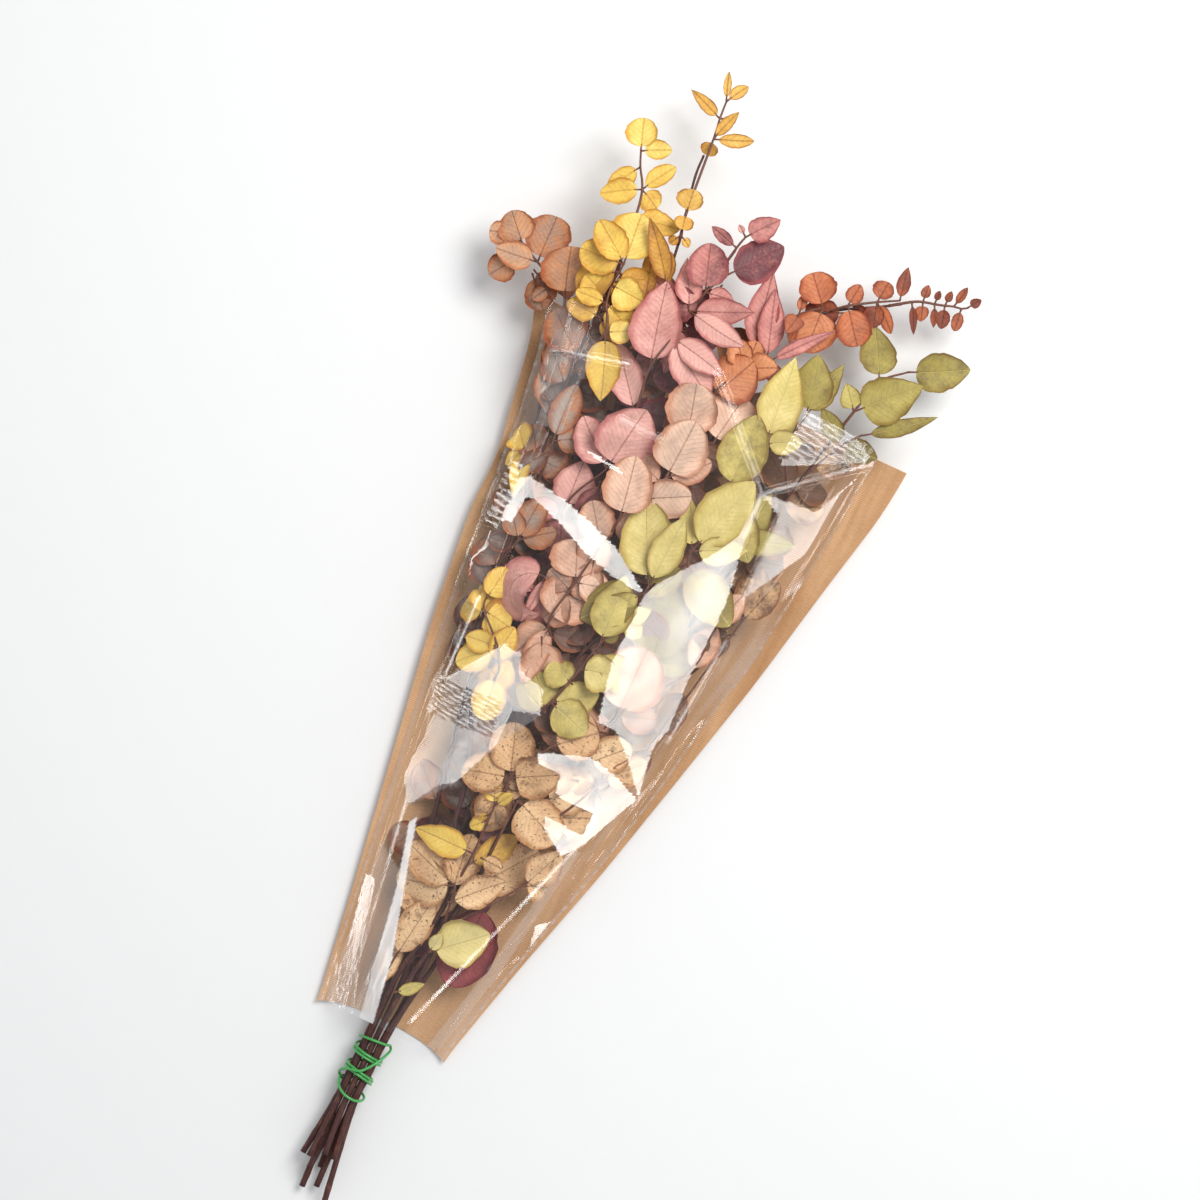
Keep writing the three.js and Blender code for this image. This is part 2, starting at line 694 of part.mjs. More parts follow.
// Tilts and turns a leaf at its petiole until it is clear of everything that is placed.
function fitLeaf(owner, index, at, [, heading, fullLength, fullWidth]) {
  const length = fullLength * leafSize;
  const width = fullWidth * leafSize;
  const petiole = Math.max(2.6, petioleShare * length);
  const own = { pitch: 14 * uneven(index), roll: 20 * uneven(index + 0.5) };
  const others = (name) => name !== owner;
  const tries = [leafRoom, leafRoom / 2, fitGap].map((room) => [room, gentlePoses]);
  for (const [room, changes] of [...tries, [fitGap, widePoses]]) {
    const whole = plate(leafOutline(length, width, petiole, room / 2), leafThickness + 2 * room);
    const blade = plate(bladeOutline(length, width, petiole, 0), leafThickness + 2 * fitGap);
    for (const change of changes) {
      const pose = {
        pitch: own.pitch + change.pitch,
        roll: own.roll + change.roll,
        turn: change.turn,
      };
      const matrix = leafPose(at, heading, pose);
      const wholeThere = whole.clone().applyMatrix4(matrix);
      if (!isHeld(wholeThere)) continue;
      if (!isClear(wholeThere, others)) continue;
      const bladeThere = blade.clone().applyMatrix4(matrix);
      if (!isClear(bladeThere, (name) => name === owner)) continue;
      return plate(leafOutline(length, width, petiole, 0), leafThickness).applyMatrix4(matrix);
    }
  }
  console.error(`no room for leaf ${index} of ${owner}`);
  return plate(leafOutline(length, width, petiole, 0), leafThickness)
    .applyMatrix4(leafPose(at, heading, { ...own, turn: 0 }));
}

// The point on a stem that is level with `y`, and the stem's direction and radius there.
function stemJoint({ points }, y) {
  const next = points.findIndex((point, i) => i > 0 && (point.y >= y || i === points.length - 1));
  const [before, after] = [points[next - 1], points[next]];
  const share = THREE.MathUtils.clamp((y - before.y) / (after.y - before.y), 0, 1);
  const thinned = (next - 1 + share) / (points.length - 1);
  return {
    point: before.clone().lerp(after, share),
    along: after.clone().sub(before).normalize(),
    radius: THREE.MathUtils.lerp(stemDiameter, stemTipDiameter, thinned) / 2,
  };
}

// A spray's twig starts just clear of its stem's side and runs through its nodes.
function twigCurve(curve, from, nodes, shift) {
  const { point, along, radius } = stemJoint(curve, from * branchLength);
  const ends = nodes.map((node) => reach(node).add(shift));
  const outward = ends[0].clone().sub(point);
  outward.addScaledVector(along, -outward.dot(along)).normalize();
  const start = point.clone().addScaledVector(outward, radius + twigDiameter / 2 + fitGap);
  const last = ends.at(-1);
  const past = last.clone().sub(ends.at(-2) ?? start).setLength(twigTipDiameter).add(last);
  return { route: smoothCurve([start, ...ends, past]), ends };
}

function twigShifts() {
  const shifts = [];
  for (const up of [0, 2, -2, 4, -4, 6, -6, 9, -9, 12, -12]) {
    for (const side of [0, 3, -3, 6, -6]) {
      shifts.push(new THREE.Vector3(side, 0, up));
    }
  }
  const effort = (shift) => Math.abs(shift.z) + 1.5 * Math.abs(shift.x);
  return shifts.sort((a, b) => effort(a) - effort(b));
}

// Lifts or lowers a spray's twig until it is clear of the stems and the other twigs.
function fitTwig(owner, curve, { from, nodes }) {
  for (const shift of twigShifts()) {
    const { route, ends } = twigCurve(curve, from, nodes, shift);
    const roomy = bentRod(route, twigSides, twigDiameter + fitGap, twigTipDiameter + fitGap);
    if (isHeld(roomy) && isClear(roomy, () => true)) {
      return { twig: bentRod(route, twigSides, twigDiameter, twigTipDiameter), ends };
    }
  }
  console.error(`no room for the twig of ${owner}`);
  const { route, ends } = twigCurve(curve, from, nodes, new THREE.Vector3());
  return { twig: bentRod(route, twigSides, twigDiameter, twigTipDiameter), ends };
}

// ---------------------------------------------------------------- assembly

const bunch = new THREE.Group();

function add(name, geometry, material) {
  const mesh = new THREE.Mesh(geometry, material);
  mesh.name = name;
  bunch.add(mesh);
}

function addFixed(name, geometry, material) {
  settle(name, geometry);
  add(name, geometry, material);
}

addFixed('kraft_back', paperBack(), finishes.paper());
addFixed('clear_front', clearFront(), finishes.film());
addFixed('green_tie', wireTie(), finishes.wire());

const curves = {};
for (const [colour, stem] of Object.entries(stems)) {
  curves[colour] = stemCurve(stem);
  const rod = bentRod(curves[colour], 6, stemDiameter, stemTipDiameter);
  addFixed(`${colour}_stem`, rod, finishes.stem());
}

const twigs = {};
for (const [name, spray] of Object.entries(sprays)) {
  twigs[name] = fitTwig(name, curves[spray.stem], spray);
  settle(name, twigs[name].twig);
}

let leafIndex = 0;
for (const [name, spray] of Object.entries(sprays)) {
  const { twig, ends } = twigs[name];
  let solid = solidOf(twig);
  for (const leaf of spray.leaves) {
    leafIndex += 1;
    const blade = fitLeaf(name, leafIndex, ends[leaf[0]], leaf);
    settle(name, blade);
    solid = solid.add(solidOf(blade));
  }
  add(name, geometryOf(solid), finishes[spray.finish]());
}

for (const [name, loose] of Object.entries(looseLeaves)) {
  leafIndex += 1;
  const blade = fitLeaf(name, leafIndex, reach(loose.at), loose.leaf);
  addFixed(name, blade, finishes[loose.finish]());
}

// The origin is the middle of the footprint, on the surface that the bunch lies on.
const extent = new THREE.Box3().setFromObject(bunch);
const centre = extent.getCenter(new THREE.Vector3());
bunch.position.set(-centre.x, -centre.y, -extent.min.z);

export default bunch;
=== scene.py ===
import json
import math
import random

import bpy
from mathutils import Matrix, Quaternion, Vector, noise
from mathutils.bvhtree import BVHTree

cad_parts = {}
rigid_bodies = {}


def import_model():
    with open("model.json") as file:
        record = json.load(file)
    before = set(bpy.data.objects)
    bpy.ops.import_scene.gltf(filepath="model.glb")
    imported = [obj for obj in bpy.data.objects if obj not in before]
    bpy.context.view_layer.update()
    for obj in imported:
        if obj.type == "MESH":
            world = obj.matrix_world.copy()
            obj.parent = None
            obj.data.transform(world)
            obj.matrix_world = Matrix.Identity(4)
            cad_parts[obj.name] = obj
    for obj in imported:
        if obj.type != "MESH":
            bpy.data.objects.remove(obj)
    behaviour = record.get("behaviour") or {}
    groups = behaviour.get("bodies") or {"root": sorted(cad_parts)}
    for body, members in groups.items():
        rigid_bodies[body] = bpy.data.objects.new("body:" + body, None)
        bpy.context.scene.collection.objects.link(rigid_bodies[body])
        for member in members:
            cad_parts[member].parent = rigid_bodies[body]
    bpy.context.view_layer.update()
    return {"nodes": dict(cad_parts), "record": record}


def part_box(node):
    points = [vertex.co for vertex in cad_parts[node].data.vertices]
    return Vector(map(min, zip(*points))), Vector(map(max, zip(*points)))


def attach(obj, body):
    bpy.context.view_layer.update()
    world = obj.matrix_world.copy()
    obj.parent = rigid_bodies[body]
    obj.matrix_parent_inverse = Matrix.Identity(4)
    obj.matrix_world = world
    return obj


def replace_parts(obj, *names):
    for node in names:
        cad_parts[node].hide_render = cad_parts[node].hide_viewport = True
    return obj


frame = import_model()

random.seed(7)

# ---------------------------------------------------------------- camera
# The bunch lies on a pale table and is seen from straight above. Its stems point down and a
# little to the left in the view, so the camera is turned about its own line of sight.

MM = 0.001
BUNCH_TURN = math.radians(26.0)
VIEW_CENTRE = (5.7, 320.0)  # mm past the tie, in the bunch's own layout
VIEW_WIDTH = 0.720
VIEW_LEVEL = 0.040  # height at which the view is VIEW_WIDTH wide
CAMERA_DISTANCE = 2.0
SENSOR_WIDTH = 36.0  # mm

PAPER_LEFT, PAPER_LOW = -112.5, 24.0  # mm, the low corner of the paper in the bunch's layout
kraft_low = Vector(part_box("kraft_back")[0])
tie_origin = Vector((kraft_low.x - PAPER_LEFT * MM, kraft_low.y - PAPER_LOW * MM, 0))


def laid(x, y, z=0.0):
    """A place in the bunch's own layout, in mm from the wire tie, as a place in the frame."""
    return tie_origin + Vector((x, y, z)) * MM


camera_data = bpy.data.cameras.new("camera")
camera_data.sensor_width = SENSOR_WIDTH
camera_data.lens = SENSOR_WIDTH * CAMERA_DISTANCE / VIEW_WIDTH
camera_data.clip_end = 20.0
camera = bpy.data.objects.new("camera", camera_data)
bpy.context.scene.collection.objects.link(camera)
camera.location = laid(*VIEW_CENTRE) + Vector((0, 0, VIEW_LEVEL + CAMERA_DISTANCE))
camera.rotation_euler = (0, 0, BUNCH_TURN)
bpy.context.scene.camera = camera
view_right = Vector((math.cos(BUNCH_TURN), math.sin(BUNCH_TURN), 0))
view_up = Vector((-math.sin(BUNCH_TURN), math.cos(BUNCH_TURN), 0))

# ---------------------------------------------------------------- table and light
# A plain white table top under even daylight, with one window-like soft light high on the
# right. It gives the faint shadows to the lower left and the white glints on the film.

TABLE_COLOUR = (0.88, 0.885, 0.895)
GRAIN_DARK = 0.985  # how dark the table's faint grain is, against TABLE_COLOUR
SKY_COLOUR = (0.97, 0.985, 1.0)
SKY_STRENGTH = 0.56
KEY_TILT = math.radians(32.0)  # from straight above
KEY_DISTANCE = 1.9
KEY_SIDE = 0.95
KEY_POWER = 28.5
KEY_COLOUR = (1.0, 0.985, 0.955)
TABLE_HALF = 4.0
TABLE_DROP = 0.0004  # below the bunch, so that no faces lie in one plane

key_heading = (view_right * 0.80 + view_up * 0.60).normalized()
UP = Vector((0, 0, 1))
key_direction = key_heading * math.sin(KEY_TILT) + UP * math.cos(KEY_TILT)


class Value:
    """A shader socket. Arithmetic on it adds Math nodes to its material."""

    def __init__(self, tree, socket=None):
        self.tree, self.socket = tree, socket

    def node(self, kind, settings, links, output=0):
        made = self.tree.nodes.new("ShaderNode" + kind)
        for name, setting in settings.items():
            setattr(made, name, setting)
        for slot, value in links.items():
            if isinstance(value, Value):
                self.tree.links.new(value.socket, made.inputs[slot])
            else:
                made.inputs[slot].default_value = value
        return Value(self.tree, made.outputs[output]) if made.outputs else None

    def maths(self, operation, *values):
        return self.node("Math", {"operation": operation}, dict(enumerate(values)))

    def __add__(self, other):
        return self.maths("ADD", self, other)

    def __radd__(self, other):
        return self.maths("ADD", other, self)

    def __sub__(self, other):
        return self.maths("SUBTRACT", self, other)

    def __rsub__(self, other):
        return self.maths("SUBTRACT", other, self)

    def __mul__(self, other):
        return self.maths("MULTIPLY", self, other)

    def __rmul__(self, other):
        return self.maths("MULTIPLY", other, self)

    def __truediv__(self, other):
        return self.maths("DIVIDE", self, other)

    def __rtruediv__(self, other):
        return self.maths("DIVIDE", other, self)

    def __pow__(self, other):
        return self.maths("POWER", self, other)

    def __abs__(self):
        return self.maths("ABSOLUTE", self)

    def sine(self):
        return self.maths("SINE", self)

    def attribute(self, name):
        return self.node("Attribute", {"attribute_name": name}, {}, output=1)

    def object_place(self):
        """Where a point is on its own piece."""
        return self.node("TexCoord", {}, {}, output=3)

    def part(self, index):
        """One coordinate of this place."""
        return self.node("SeparateXYZ", {}, {"Vector": self}, output=index)

    def ramp(self, low, high):
        """0 below low, 1 above high, and smooth in between."""
        links = {"Value": self, "From Min": low, "From Max": high}
        return self.node("MapRange", {"interpolation_type": "SMOOTHSTEP"}, links)

    def mix(self, first, second, blend="MIX"):
        """first where this is 0, and second where it is 1; both are colours."""
        settings = {"data_type": "RGBA", "blend_type": blend}
        return self.node("Mix", settings, {0: self, 6: first, 7: second}, output=2)

    def noise(self, scale, detail=3.0, roughness=0.5):
        """A noise over this place, from 0 to 1."""
        links = {"Vector": self, "Scale": scale, "Detail": detail, "Roughness": roughness}
        return self.node("TexNoise", {"noise_dimensions": "3D"}, links)

    def scaled(self, x, y, z):
        """This place with each direction stretched by its own factor."""
        return self.node("VectorMath", {"operation": "MULTIPLY"}, {0: self, 1: (x, y, z)})

    def shifted(self, other):
        """This place moved by another vector."""
        return self.node("VectorMath", {"operation": "ADD"}, {0: self, 1: other})

    def bump(self, strength, depth, **links):
        """A normal that follows this height."""
        links.update(Height=self, Strength=strength, Distance=depth)
        return self.node("Bump", {}, links)


def rgb(red, green, blue):
    """A colour as it shows on a screen, 0 to 255, as the linear colour that shaders take."""
    shares = [c / 255 for c in (red, green, blue)]
    return (*[((c + 0.055) / 1.055) ** 2.4 if c > 0.04 else c / 12.92 for c in shares], 1.0)


def new_material(name):
    """A material with an empty node tree, and a Value to build it from."""
    material = bpy.data.materials.new(name)
    material.use_nodes = True
    material.node_tree.nodes.clear()
    return material, Value(material.node_tree)


def surface(start, links):
    """Ends a material in one Principled shader."""
    shader = start.node("BsdfPrincipled", {}, links)
    start.node("OutputMaterial", {}, {"Surface": shader})


def mesh_object(name, vertices, faces, material):
    """A smooth-shaded object in the scene."""
    mesh = bpy.data.meshes.new(name)
    mesh.from_pydata([tuple(v) for v in vertices], [], faces)
    mesh.update()
    mesh.polygons.foreach_set("use_smooth", [True] * len(mesh.polygons))
    mesh.materials.append(material)
    made = bpy.data.objects.new(name, mesh)
    bpy.context.scene.collection.objects.link(made)
    return made


table_paint, start = new_material("table_paint")
grain = start.node("NewGeometry", {}, {}).noise(60.0, 4.0)
surface(start, {
    "Base Color": grain.mix((*[c * GRAIN_DARK for c in TABLE_COLOUR], 1), (*TABLE_COLOUR, 1)),
    "Roughness": 0.75,
    "Specular IOR Level": 0.2,
})
signs = ((-1, -1), (1, -1), (1, 1), (-1, 1))
corners = [(x * TABLE_HALF, y * TABLE_HALF, -TABLE_DROP) for x, y in signs]
table = mesh_object("table_top", corners, [(0, 1, 2, 3)], table_paint)

world = bpy.data.worlds.new("studio")
bpy.context.scene.world = world
world.use_nodes = True
sky = world.node_tree.nodes["Background"].inputs
sky["Color"].default_value = (*SKY_COLOUR, 1)
sky["Strength"].default_value = SKY_STRENGTH

key_data = bpy.data.lights.new("key_softbox", "AREA")
key_data.shape = "RECTANGLE"
key_data.size = KEY_SIDE
key_data.size_y = KEY_SIDE
key_data.energy = KEY_POWER
key_data.color = KEY_COLOUR
key_light = bpy.data.objects.new("key_softbox", key_data)
bpy.context.scene.collection.objects.link(key_light)
key_light.location = laid(*VIEW_CENTRE) + key_direction * KEY_DISTANCE
key_light.rotation_euler = key_direction.to_track_quat("Z", "Y").to_euler()

bpy.context.scene.view_settings.view_transform = "Standard"

# ---------------------------------------------------------------- brown paper back
# The back of the sleeve is one piece of thin ribbed kraft paper, cut as a long trapezoid. Its
# long edges lift a little, where the film is sealed on, and it lies flat under the stems.

KRAFT_COLUMNS, KRAFT_ROWS = 96, 160
KRAFT_FROM, KRAFT_TO = 24.0, 471.0  # mm past the tie
# Its long edges, as (mm past the tie, mm to the right).
KRAFT_LEFT = [
    (24, -42), (90, -52), (180, -67), (270, -82), (340, -90), (372, -89), (410, -96), (450, -103),
    (471, -112),
]
KRAFT_RIGHT = [
    (24, 43), (95, 60), (170, 80), (235, 95), (315, 113), (380, 125), (440, 137), (471, 140),
]
KRAFT_RESTS_AT = 0.6  # mm
KRAFT_RISE = 12.0  # mm, at the wide end's edges
KRAFT_FLAT_SHARE = 0.56  # of the half width
KRAFT_DIP = 7.0  # mm that the lower edge curves up in its middle
RIB_SPACING = 0.00125


def along_line(points, at):
    """The value at a place along a line of (place, value) points."""
    for (low, first), (high, second) in zip(points, points[1:]):
        if at <= high:
            return first + (second - first) * max(0.0, at - low) / (high - low)
    return points[-1][1]


def eased(points, at, reach=12.0):
    """The same, with its corners rounded over a short reach."""
    steps = (-1.0, -0.5, 0.0, 0.5, 1.0)
    return sum(along_line(points, at + reach * s) for s in steps) / len(steps)


def paper_height(share, y):
    """How high the paper's face is; share is -1 and 1 at the long edges."""
    along = min(1.0, max(0.0, (y - KRAFT_FROM) / (KRAFT_TO - KRAFT_FROM)))
    beyond = max(0.0, abs(share) - KRAFT_FLAT_SHARE) / (1 - KRAFT_FLAT_SHARE)
    ripple = 0.5 * beyond * math.sin(y * 0.071 + 2.0 * share) + 0.25 * beyond * math.sin(y * 0.19)
    return KRAFT_RESTS_AT + KRAFT_RISE * (0.3 + 0.7 * along) * beyond ** 1.5 + ripple * along


def grid_faces(columns, rows):
    wide = columns + 1
    return [
        (r * wide + c, r * wide + c + 1, (r + 1) * wide + c + 1, (r + 1) * wide + c)
        for r in range(rows)
        for c in range(columns)
    ]


kraft_vertices = []
for row in range(KRAFT_ROWS + 1):
    for column in range(KRAFT_COLUMNS + 1):
        share = 2 * column / KRAFT_COLUMNS - 1
        dip = KRAFT_DIP * (1 - share ** 2) ** 0.7
        y = KRAFT_FROM + (KRAFT_TO - KRAFT_FROM) * row / KRAFT_ROWS
        y += dip * (1 - row / KRAFT_ROWS) ** 3
        left, right = eased(KRAFT_LEFT, y), eased(KRAFT_RIGHT, y)
        x = left + (right - left) * (share + 1) / 2
        kraft_vertices.append(laid(x, y, paper_height(share, y)))

kraft_paper, start = new_material("kraft_paper")
place = start.object_place()
ribs = (place.part(1) * (2 * math.pi / RIB_SPACING)).sine()
fibre = place.scaled(1.0, 6.0, 1.0).noise(260.0, 5.0, 0.7)
cloud = place.noise(22.0, 3.0)
fleck = place.scaled(1.0, 3.0, 1.0).noise(900.0, 2.0).ramp(0.62, 0.75)
# Long soft streaks, darker and lighter along the paper, are painted shade and light of its soft
# folds; the same noise also bumps it.
fold = place.scaled(1.0, 0.09, 1.0).noise(55.0, 3.0, 0.6)
shade = 0.5 + 0.08 * ribs + 0.6 * (fibre - 0.5) + 0.4 * (cloud - 0.5) + 1.3 * (fold - 0.5)
kraft_tone = shade.ramp(0.0, 1.0).mix(rgb(180, 132, 90), rgb(232, 188, 146))
surface(start, {
    "Base Color": (fleck * 0.35).mix(kraft_tone, rgb(150, 104, 66)),
    "Roughness": 0.72 + 0.12 * (fibre - 0.5),
    "Normal": (ribs * 0.3 + fibre * 0.6 + fold * 3.0).bump(0.55, 0.0004),
    "Specular IOR Level": 0.25,
})
kraft_faces = grid_faces(KRAFT_COLUMNS, KRAFT_ROWS)
kraft = mesh_object("kraft_paper_back", kraft_vertices, kraft_faces, kraft_paper)
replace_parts(kraft, "kraft_back")
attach(kraft, "root")

# ---------------------------------------------------------------- stems
# Nine woody stems, each a single branch cut off square below the tie. Their bark is dyed dark
# red brown, with fine lengthwise grooves, small leaf scars and a pale wood face at the cut.

STEM_SIDES = 12
STEM_STEP = 0.004  # between rings of the drawn stem
RING_GAP = 0.0045  # corners of a CAD stem nearer than this along it are of one ring
SCAR_SPACING = 0.024
SCAR_SWELL = 0.13  # share of the radius
SCAR_SHARE = 0.18  # of the spacing that is swollen
STEM_TAPER = 0.22  # by which the bark thins towards the tip, beyond the CAD's own taper


def welded(node):
    """The different corners of a CAD piece, and its triangles as corner numbers."""
    mesh = frame["nodes"][node].data
    numbers, corners, lookup = {}, [], []
    for vertex in mesh.vertices:
        key = tuple(round(c, 6) for c in vertex.co)
        if key not in numbers:
            numbers[key] = len(corners)
            corners.append(vertex.co.copy())
        lookup.append(numbers[key])
    mesh.calc_loop_triangles()
    triangles = [tuple(lookup[v] for v in t.vertices) for t in mesh.loop_triangles]
    return corners, [t for t in triangles if len(set(t)) == 3]


def spline_through(points, step):
    """Places about one step apart on a smooth line through the points."""
    line = []
    padded = [points[0] * 2 - points[1], *points, points[-1] * 2 - points[-2]]
    for a, b, c, d in zip(padded, padded[1:], padded[2:], padded[3:]):
        pieces = max(1, round((c - b).length / step))
        for i in range(pieces):
            t = i / pieces
            curve = 2 * b + (c - a) * t + (2 * a - 5 * b + 4 * c - d) * t * t
            line.append(0.5 * (curve + (3 * b - a - 3 * c + d) * t ** 3))
    return [*line, points[-1].copy()]


def tube(line, radius_at, sides):
    """Corners and faces of a closed round tube along a line.

    radius_at takes a share of its length. Its two end faces come last.
    """
    vertices, faces = [], []
    aside = None
    for i, place in enumerate(line):
        ahead = line[min(i + 1, len(line) - 1)] - line[max(i - 1, 0)]
        ahead.normalize()
        aside = aside if aside is not None else ahead.orthogonal().normalized()
        aside = (aside - ahead * aside.dot(ahead)).normalized()
        lift = ahead.cross(aside)
        radius = radius_at(i / (len(line) - 1))
        for k in range(sides):
            angle = 2 * math.pi * k / sides
            vertices.append(place + (aside * math.cos(angle) + lift * math.sin(angle)) * radius)
        if i:
            first = (i - 1) * sides
            for k in range(sides):
                n = (k + 1) % sides
                faces.append((first + k, first + n, first + sides + n, first + sides + k))
    faces.append(tuple(range(sides))[::-1])
    faces.append(tuple(range(len(vertices) - sides, len(vertices))))
    return vertices, faces


def bark_material(name, dark, light):
    material, start = new_material(name)
    place = start.object_place()
    groove = place.scaled(1.0, 0.12, 1.0).noise(1500.0, 4.0, 0.6)
    patch = place.noise(120.0, 3.0)
    worn = (patch * 0.6 + groove * 0.6).ramp(0.62, 0.85)
    surface(start, {
        "Base Color": (groove * 0.7 + worn * 0.4).ramp(0.2, 1.0).mix(dark, light),
        "Roughness": 0.38 + 0.3 * groove,
        "Normal": groove.bump(0.5, 0.0004),
    })
    return material


stem_bark = bark_material("stem_bark", rgb(62, 28, 26), rgb(134, 78, 60))
cut_wood, start = new_material("cut_wood")
rings = start.object_place().noise(2200.0, 3.0)
surface(start, {"Base Color": rings.mix(rgb(196, 168, 128), rgb(228, 206, 168)), "Roughness": 0.8})

stem_lines = {}
for node in frame["nodes"]:
    if not node.endswith("_stem"):
        continue
    corners, _ = welded(node)
    corners.sort(key=lambda corner: corner.y)
    rings = [[corners[0]]]
    for corner in corners[1:]:
        if corner.y - rings[-1][-1].y > RING_GAP:
            rings.append([])
        rings[-1].append(corner)
    centres = [sum(ring, Vector()) / len(ring) for ring in rings]
    line = spline_through(centres, STEM_STEP)
    stem_lines[node] = line
    wide = max((c - centres[1]).length for c in rings[1])
    narrow = max((c - centres[-1]).length for c in rings[-1])
    turn = random.uniform(0, 1)
    scars = (line[-1] - line[0]).length / SCAR_SPACING

    def stem_radius(share, wide=wide, narrow=narrow, turn=turn, scars=scars):
        beat = abs((share * scars + turn) % 1.0 - 0.5) * 2
        taper = (wide + (narrow - wide) * share) * (1 - STEM_TAPER * share)
        return taper * (0.97 + SCAR_SWELL * max(0.0, beat - (1 - SCAR_SHARE)) / SCAR_SHARE)

    vertices, faces = tube(line, stem_radius, STEM_SIDES)
    stem = mesh_object(node.replace("_stem", "_branch"), vertices, faces, stem_bark)
    stem.data.materials.append(cut_wood)
    cut_end = stem.data.polygons[len(faces) - 2]
    cut_end.material_index, cut_end.use_smooth = 1, False
    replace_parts(stem, node)
    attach(stem, "root")

# ---------------------------------------------------------------- sprays of leaves
# Side twigs with leathery eucalyptus leaves, preserved and dyed. Each leaf has a short stalk, a
# folded midrib, side veins that meet before the edge, and a darker, slightly rolled rim.

PLATE_THICKNESS = 0.0008
OFF_PLATE = 0.00043  # a corner further than this from every leaf's middle is of the twig
PETIOLE_WIDTH = 0.001
WIDEST_AT, SHOULDER_AT, SHOULDER_WIDTH = 0.3, 0.74, 0.8  # of the CAD leaf's blade
# Rows of a drawn leaf and columns on each side of its midrib: for a leaf that is seen, and for
# one that is half hidden.
FULL_DETAIL, PLAIN_DETAIL = (18, 5), (12, 3)
TONE_SPREAD = 0.28  # by which the tone differs from leaf to leaf in a spray
# Painted shade: the lower leaf of a pair is made darker, for the shadow of the upper one.
LOWER_LEAF_SHADE = 0.32  # how much darker the tone of a pair's lower leaf is
BLOOM_LEFT = 0.15  # share of the waxy bloom that leaves out of the sleeve have kept
VEIN_SPACING = 3.3  # mm
BLADE_THICKNESS = 0.00042
LOWEST_LEAF = 0.0011  # a leaf that reaches the paper or the table lies flat on it
TWIG_RADIUS = 0.00088
TWIG_STEP = 0.003  # between rings of the drawn twig
APART = 0.0018  # leaves nearer than this grow from one place of the twig
STALK_RADIUS = 0.00068
SHORTEST_STALK, STALK_SHARE = 0.0026, 0.1628  # the share is of the blade's length
HOOP_TURN, HOOP_RADIUS = math.pi * 1.25, 0.36  # of a curled leaf; the radius is per length

# Screen colours of each dye: in the palest, the middle and the darkest leaves, of the leaf's rim,
# and of its veins. The darkest also serves as painted shade on half hidden and inner leaves.
DYES = {
    "tan": [(220, 162, 120), (194, 130, 90), (94, 58, 43), (176, 88, 44), (120, 68, 44)],
    "yellow": [(252, 226, 130), (242, 202, 92), (206, 150, 60), (214, 150, 58), (206, 150, 62)],
    "gold": [(244, 202, 108), (226, 170, 74), (160, 102, 42), (172, 104, 40), (160, 98, 40)],
    "mauve": [(240, 180, 168), (212, 138, 130), (104, 48, 58), (176, 90, 88), (140, 66, 70)],
    "rust": [(226, 152, 106), (194, 108, 66), (122, 56, 38), (150, 66, 38), (120, 52, 34)],
    "olive": [(200, 184, 106), (166, 150, 74), (104, 88, 42), (140, 108, 50), (196, 178, 104)],
    "lime": [(240, 220, 148), (216, 196, 112), (146, 128, 62), (176, 140, 64), (232, 214, 140)],
    "peach": [(250, 208, 180), (232, 178, 148), (112, 72, 58), (194, 116, 76), (146, 88, 66)],
    "ochre": [(246, 206, 158), (230, 182, 132), (100, 66, 43), (172, 106, 56), (128, 78, 46)],
    "burgundy": [(176, 90, 90), (142, 58, 62), (92, 32, 38), (112, 40, 44), (90, 30, 36)],
}
SPOTTED = {"ochre": 0.9, "tan": 0.3, "peach": 0.2}
BLOOM = {"tan": 0.95, "peach": 0.45, "ochre": 0.15, "mauve": 0.30}  # grey waxy bloom
POINTED = {"mauve": 1.22, "olive": 1.28, "lime": 1.22, "peach": 0.95, "tan": 0.92, "ochre": 0.92}
SLENDER = {"mauve": 0.90, "olive": 0.86, "lime": 0.90, "gold": 0.9}
# How dark a spray's leaves are made, from 0 to 1, where it isn't in the middle.
SPRAY_TONE = {
    "tan_tip_spray": 0.3,
    "tan_outer_spray": 0.4,
    "mauve_broad_spray": 0.08,
    "mauve_upper_spray": 0.22,
    "mauve_crown_spray": 0.75,
    "mauve_middle_spray": 0.25,
    "mauve_right_spray": 0.55,
    "mauve_lower_spray": 0.85,
    "mauve_curled_spray": 0.30,
    "yellow_lower_spray": 0.3,
    "rust_tip_spray": 0.9,
    "rust_outer_spray": 0.7,
    "ochre_lower_spray": 0.05,
    "ochre_left_spray": 0.10,
    "ochre_side_spray": 0.15,
    "ochre_middle_spray": 0.15,
    "ochre_right_spray": 0.20,
    "peach_upper_spray": 0.3,
    "peach_tip_spray": 0.2,
    "peach_middle_spray": 0.4,
    "orange_spray": 0.15,
    "olive_inner_spray": 0.75,
    "olive_side_spray": 0.7,
    "brown_side_spray": 0.8,
    "lime_lower_spray": 0.05,
}
CURLED = {"mauve_curled_spray": 1.0}
UNPAIRED = ("lime_lower_spray", "burgundy_spray", "ochre_lower_spray", "ochre_side_spray")
OUTER_PAIRS = (
    "tan_tip_spray", "tan_outer_spray", "yellow_crown_spray", "yellow_upper_spray",
    "mauve_crown_spray", "mauve_upper_spray", "rust_outer_spray", "olive_upper_spray",
)
LARGER = {"mauve_curled_spray": 1.3, "ochre_lower_spray": 1.15, "mauve_broad_spray": 1.1}

# A CAD leaf is found again from its corners, which are exact to about a hundredth of a mm.
SLIVER = 2e-8  # square metres, twice the area of a triangle too thin to give a normal
ONE_PLANE, PARALLEL, OPPOSITE = 0.99998, 0.99999, -0.9999  # cosines
SAME_DEPTH, SQUARE, SAME_PLACE = 6e-6, 8e-6, 3e-5  # m
SHORTEST_PAIR, SHORTEST_SPINE = 0.0025, 0.0008


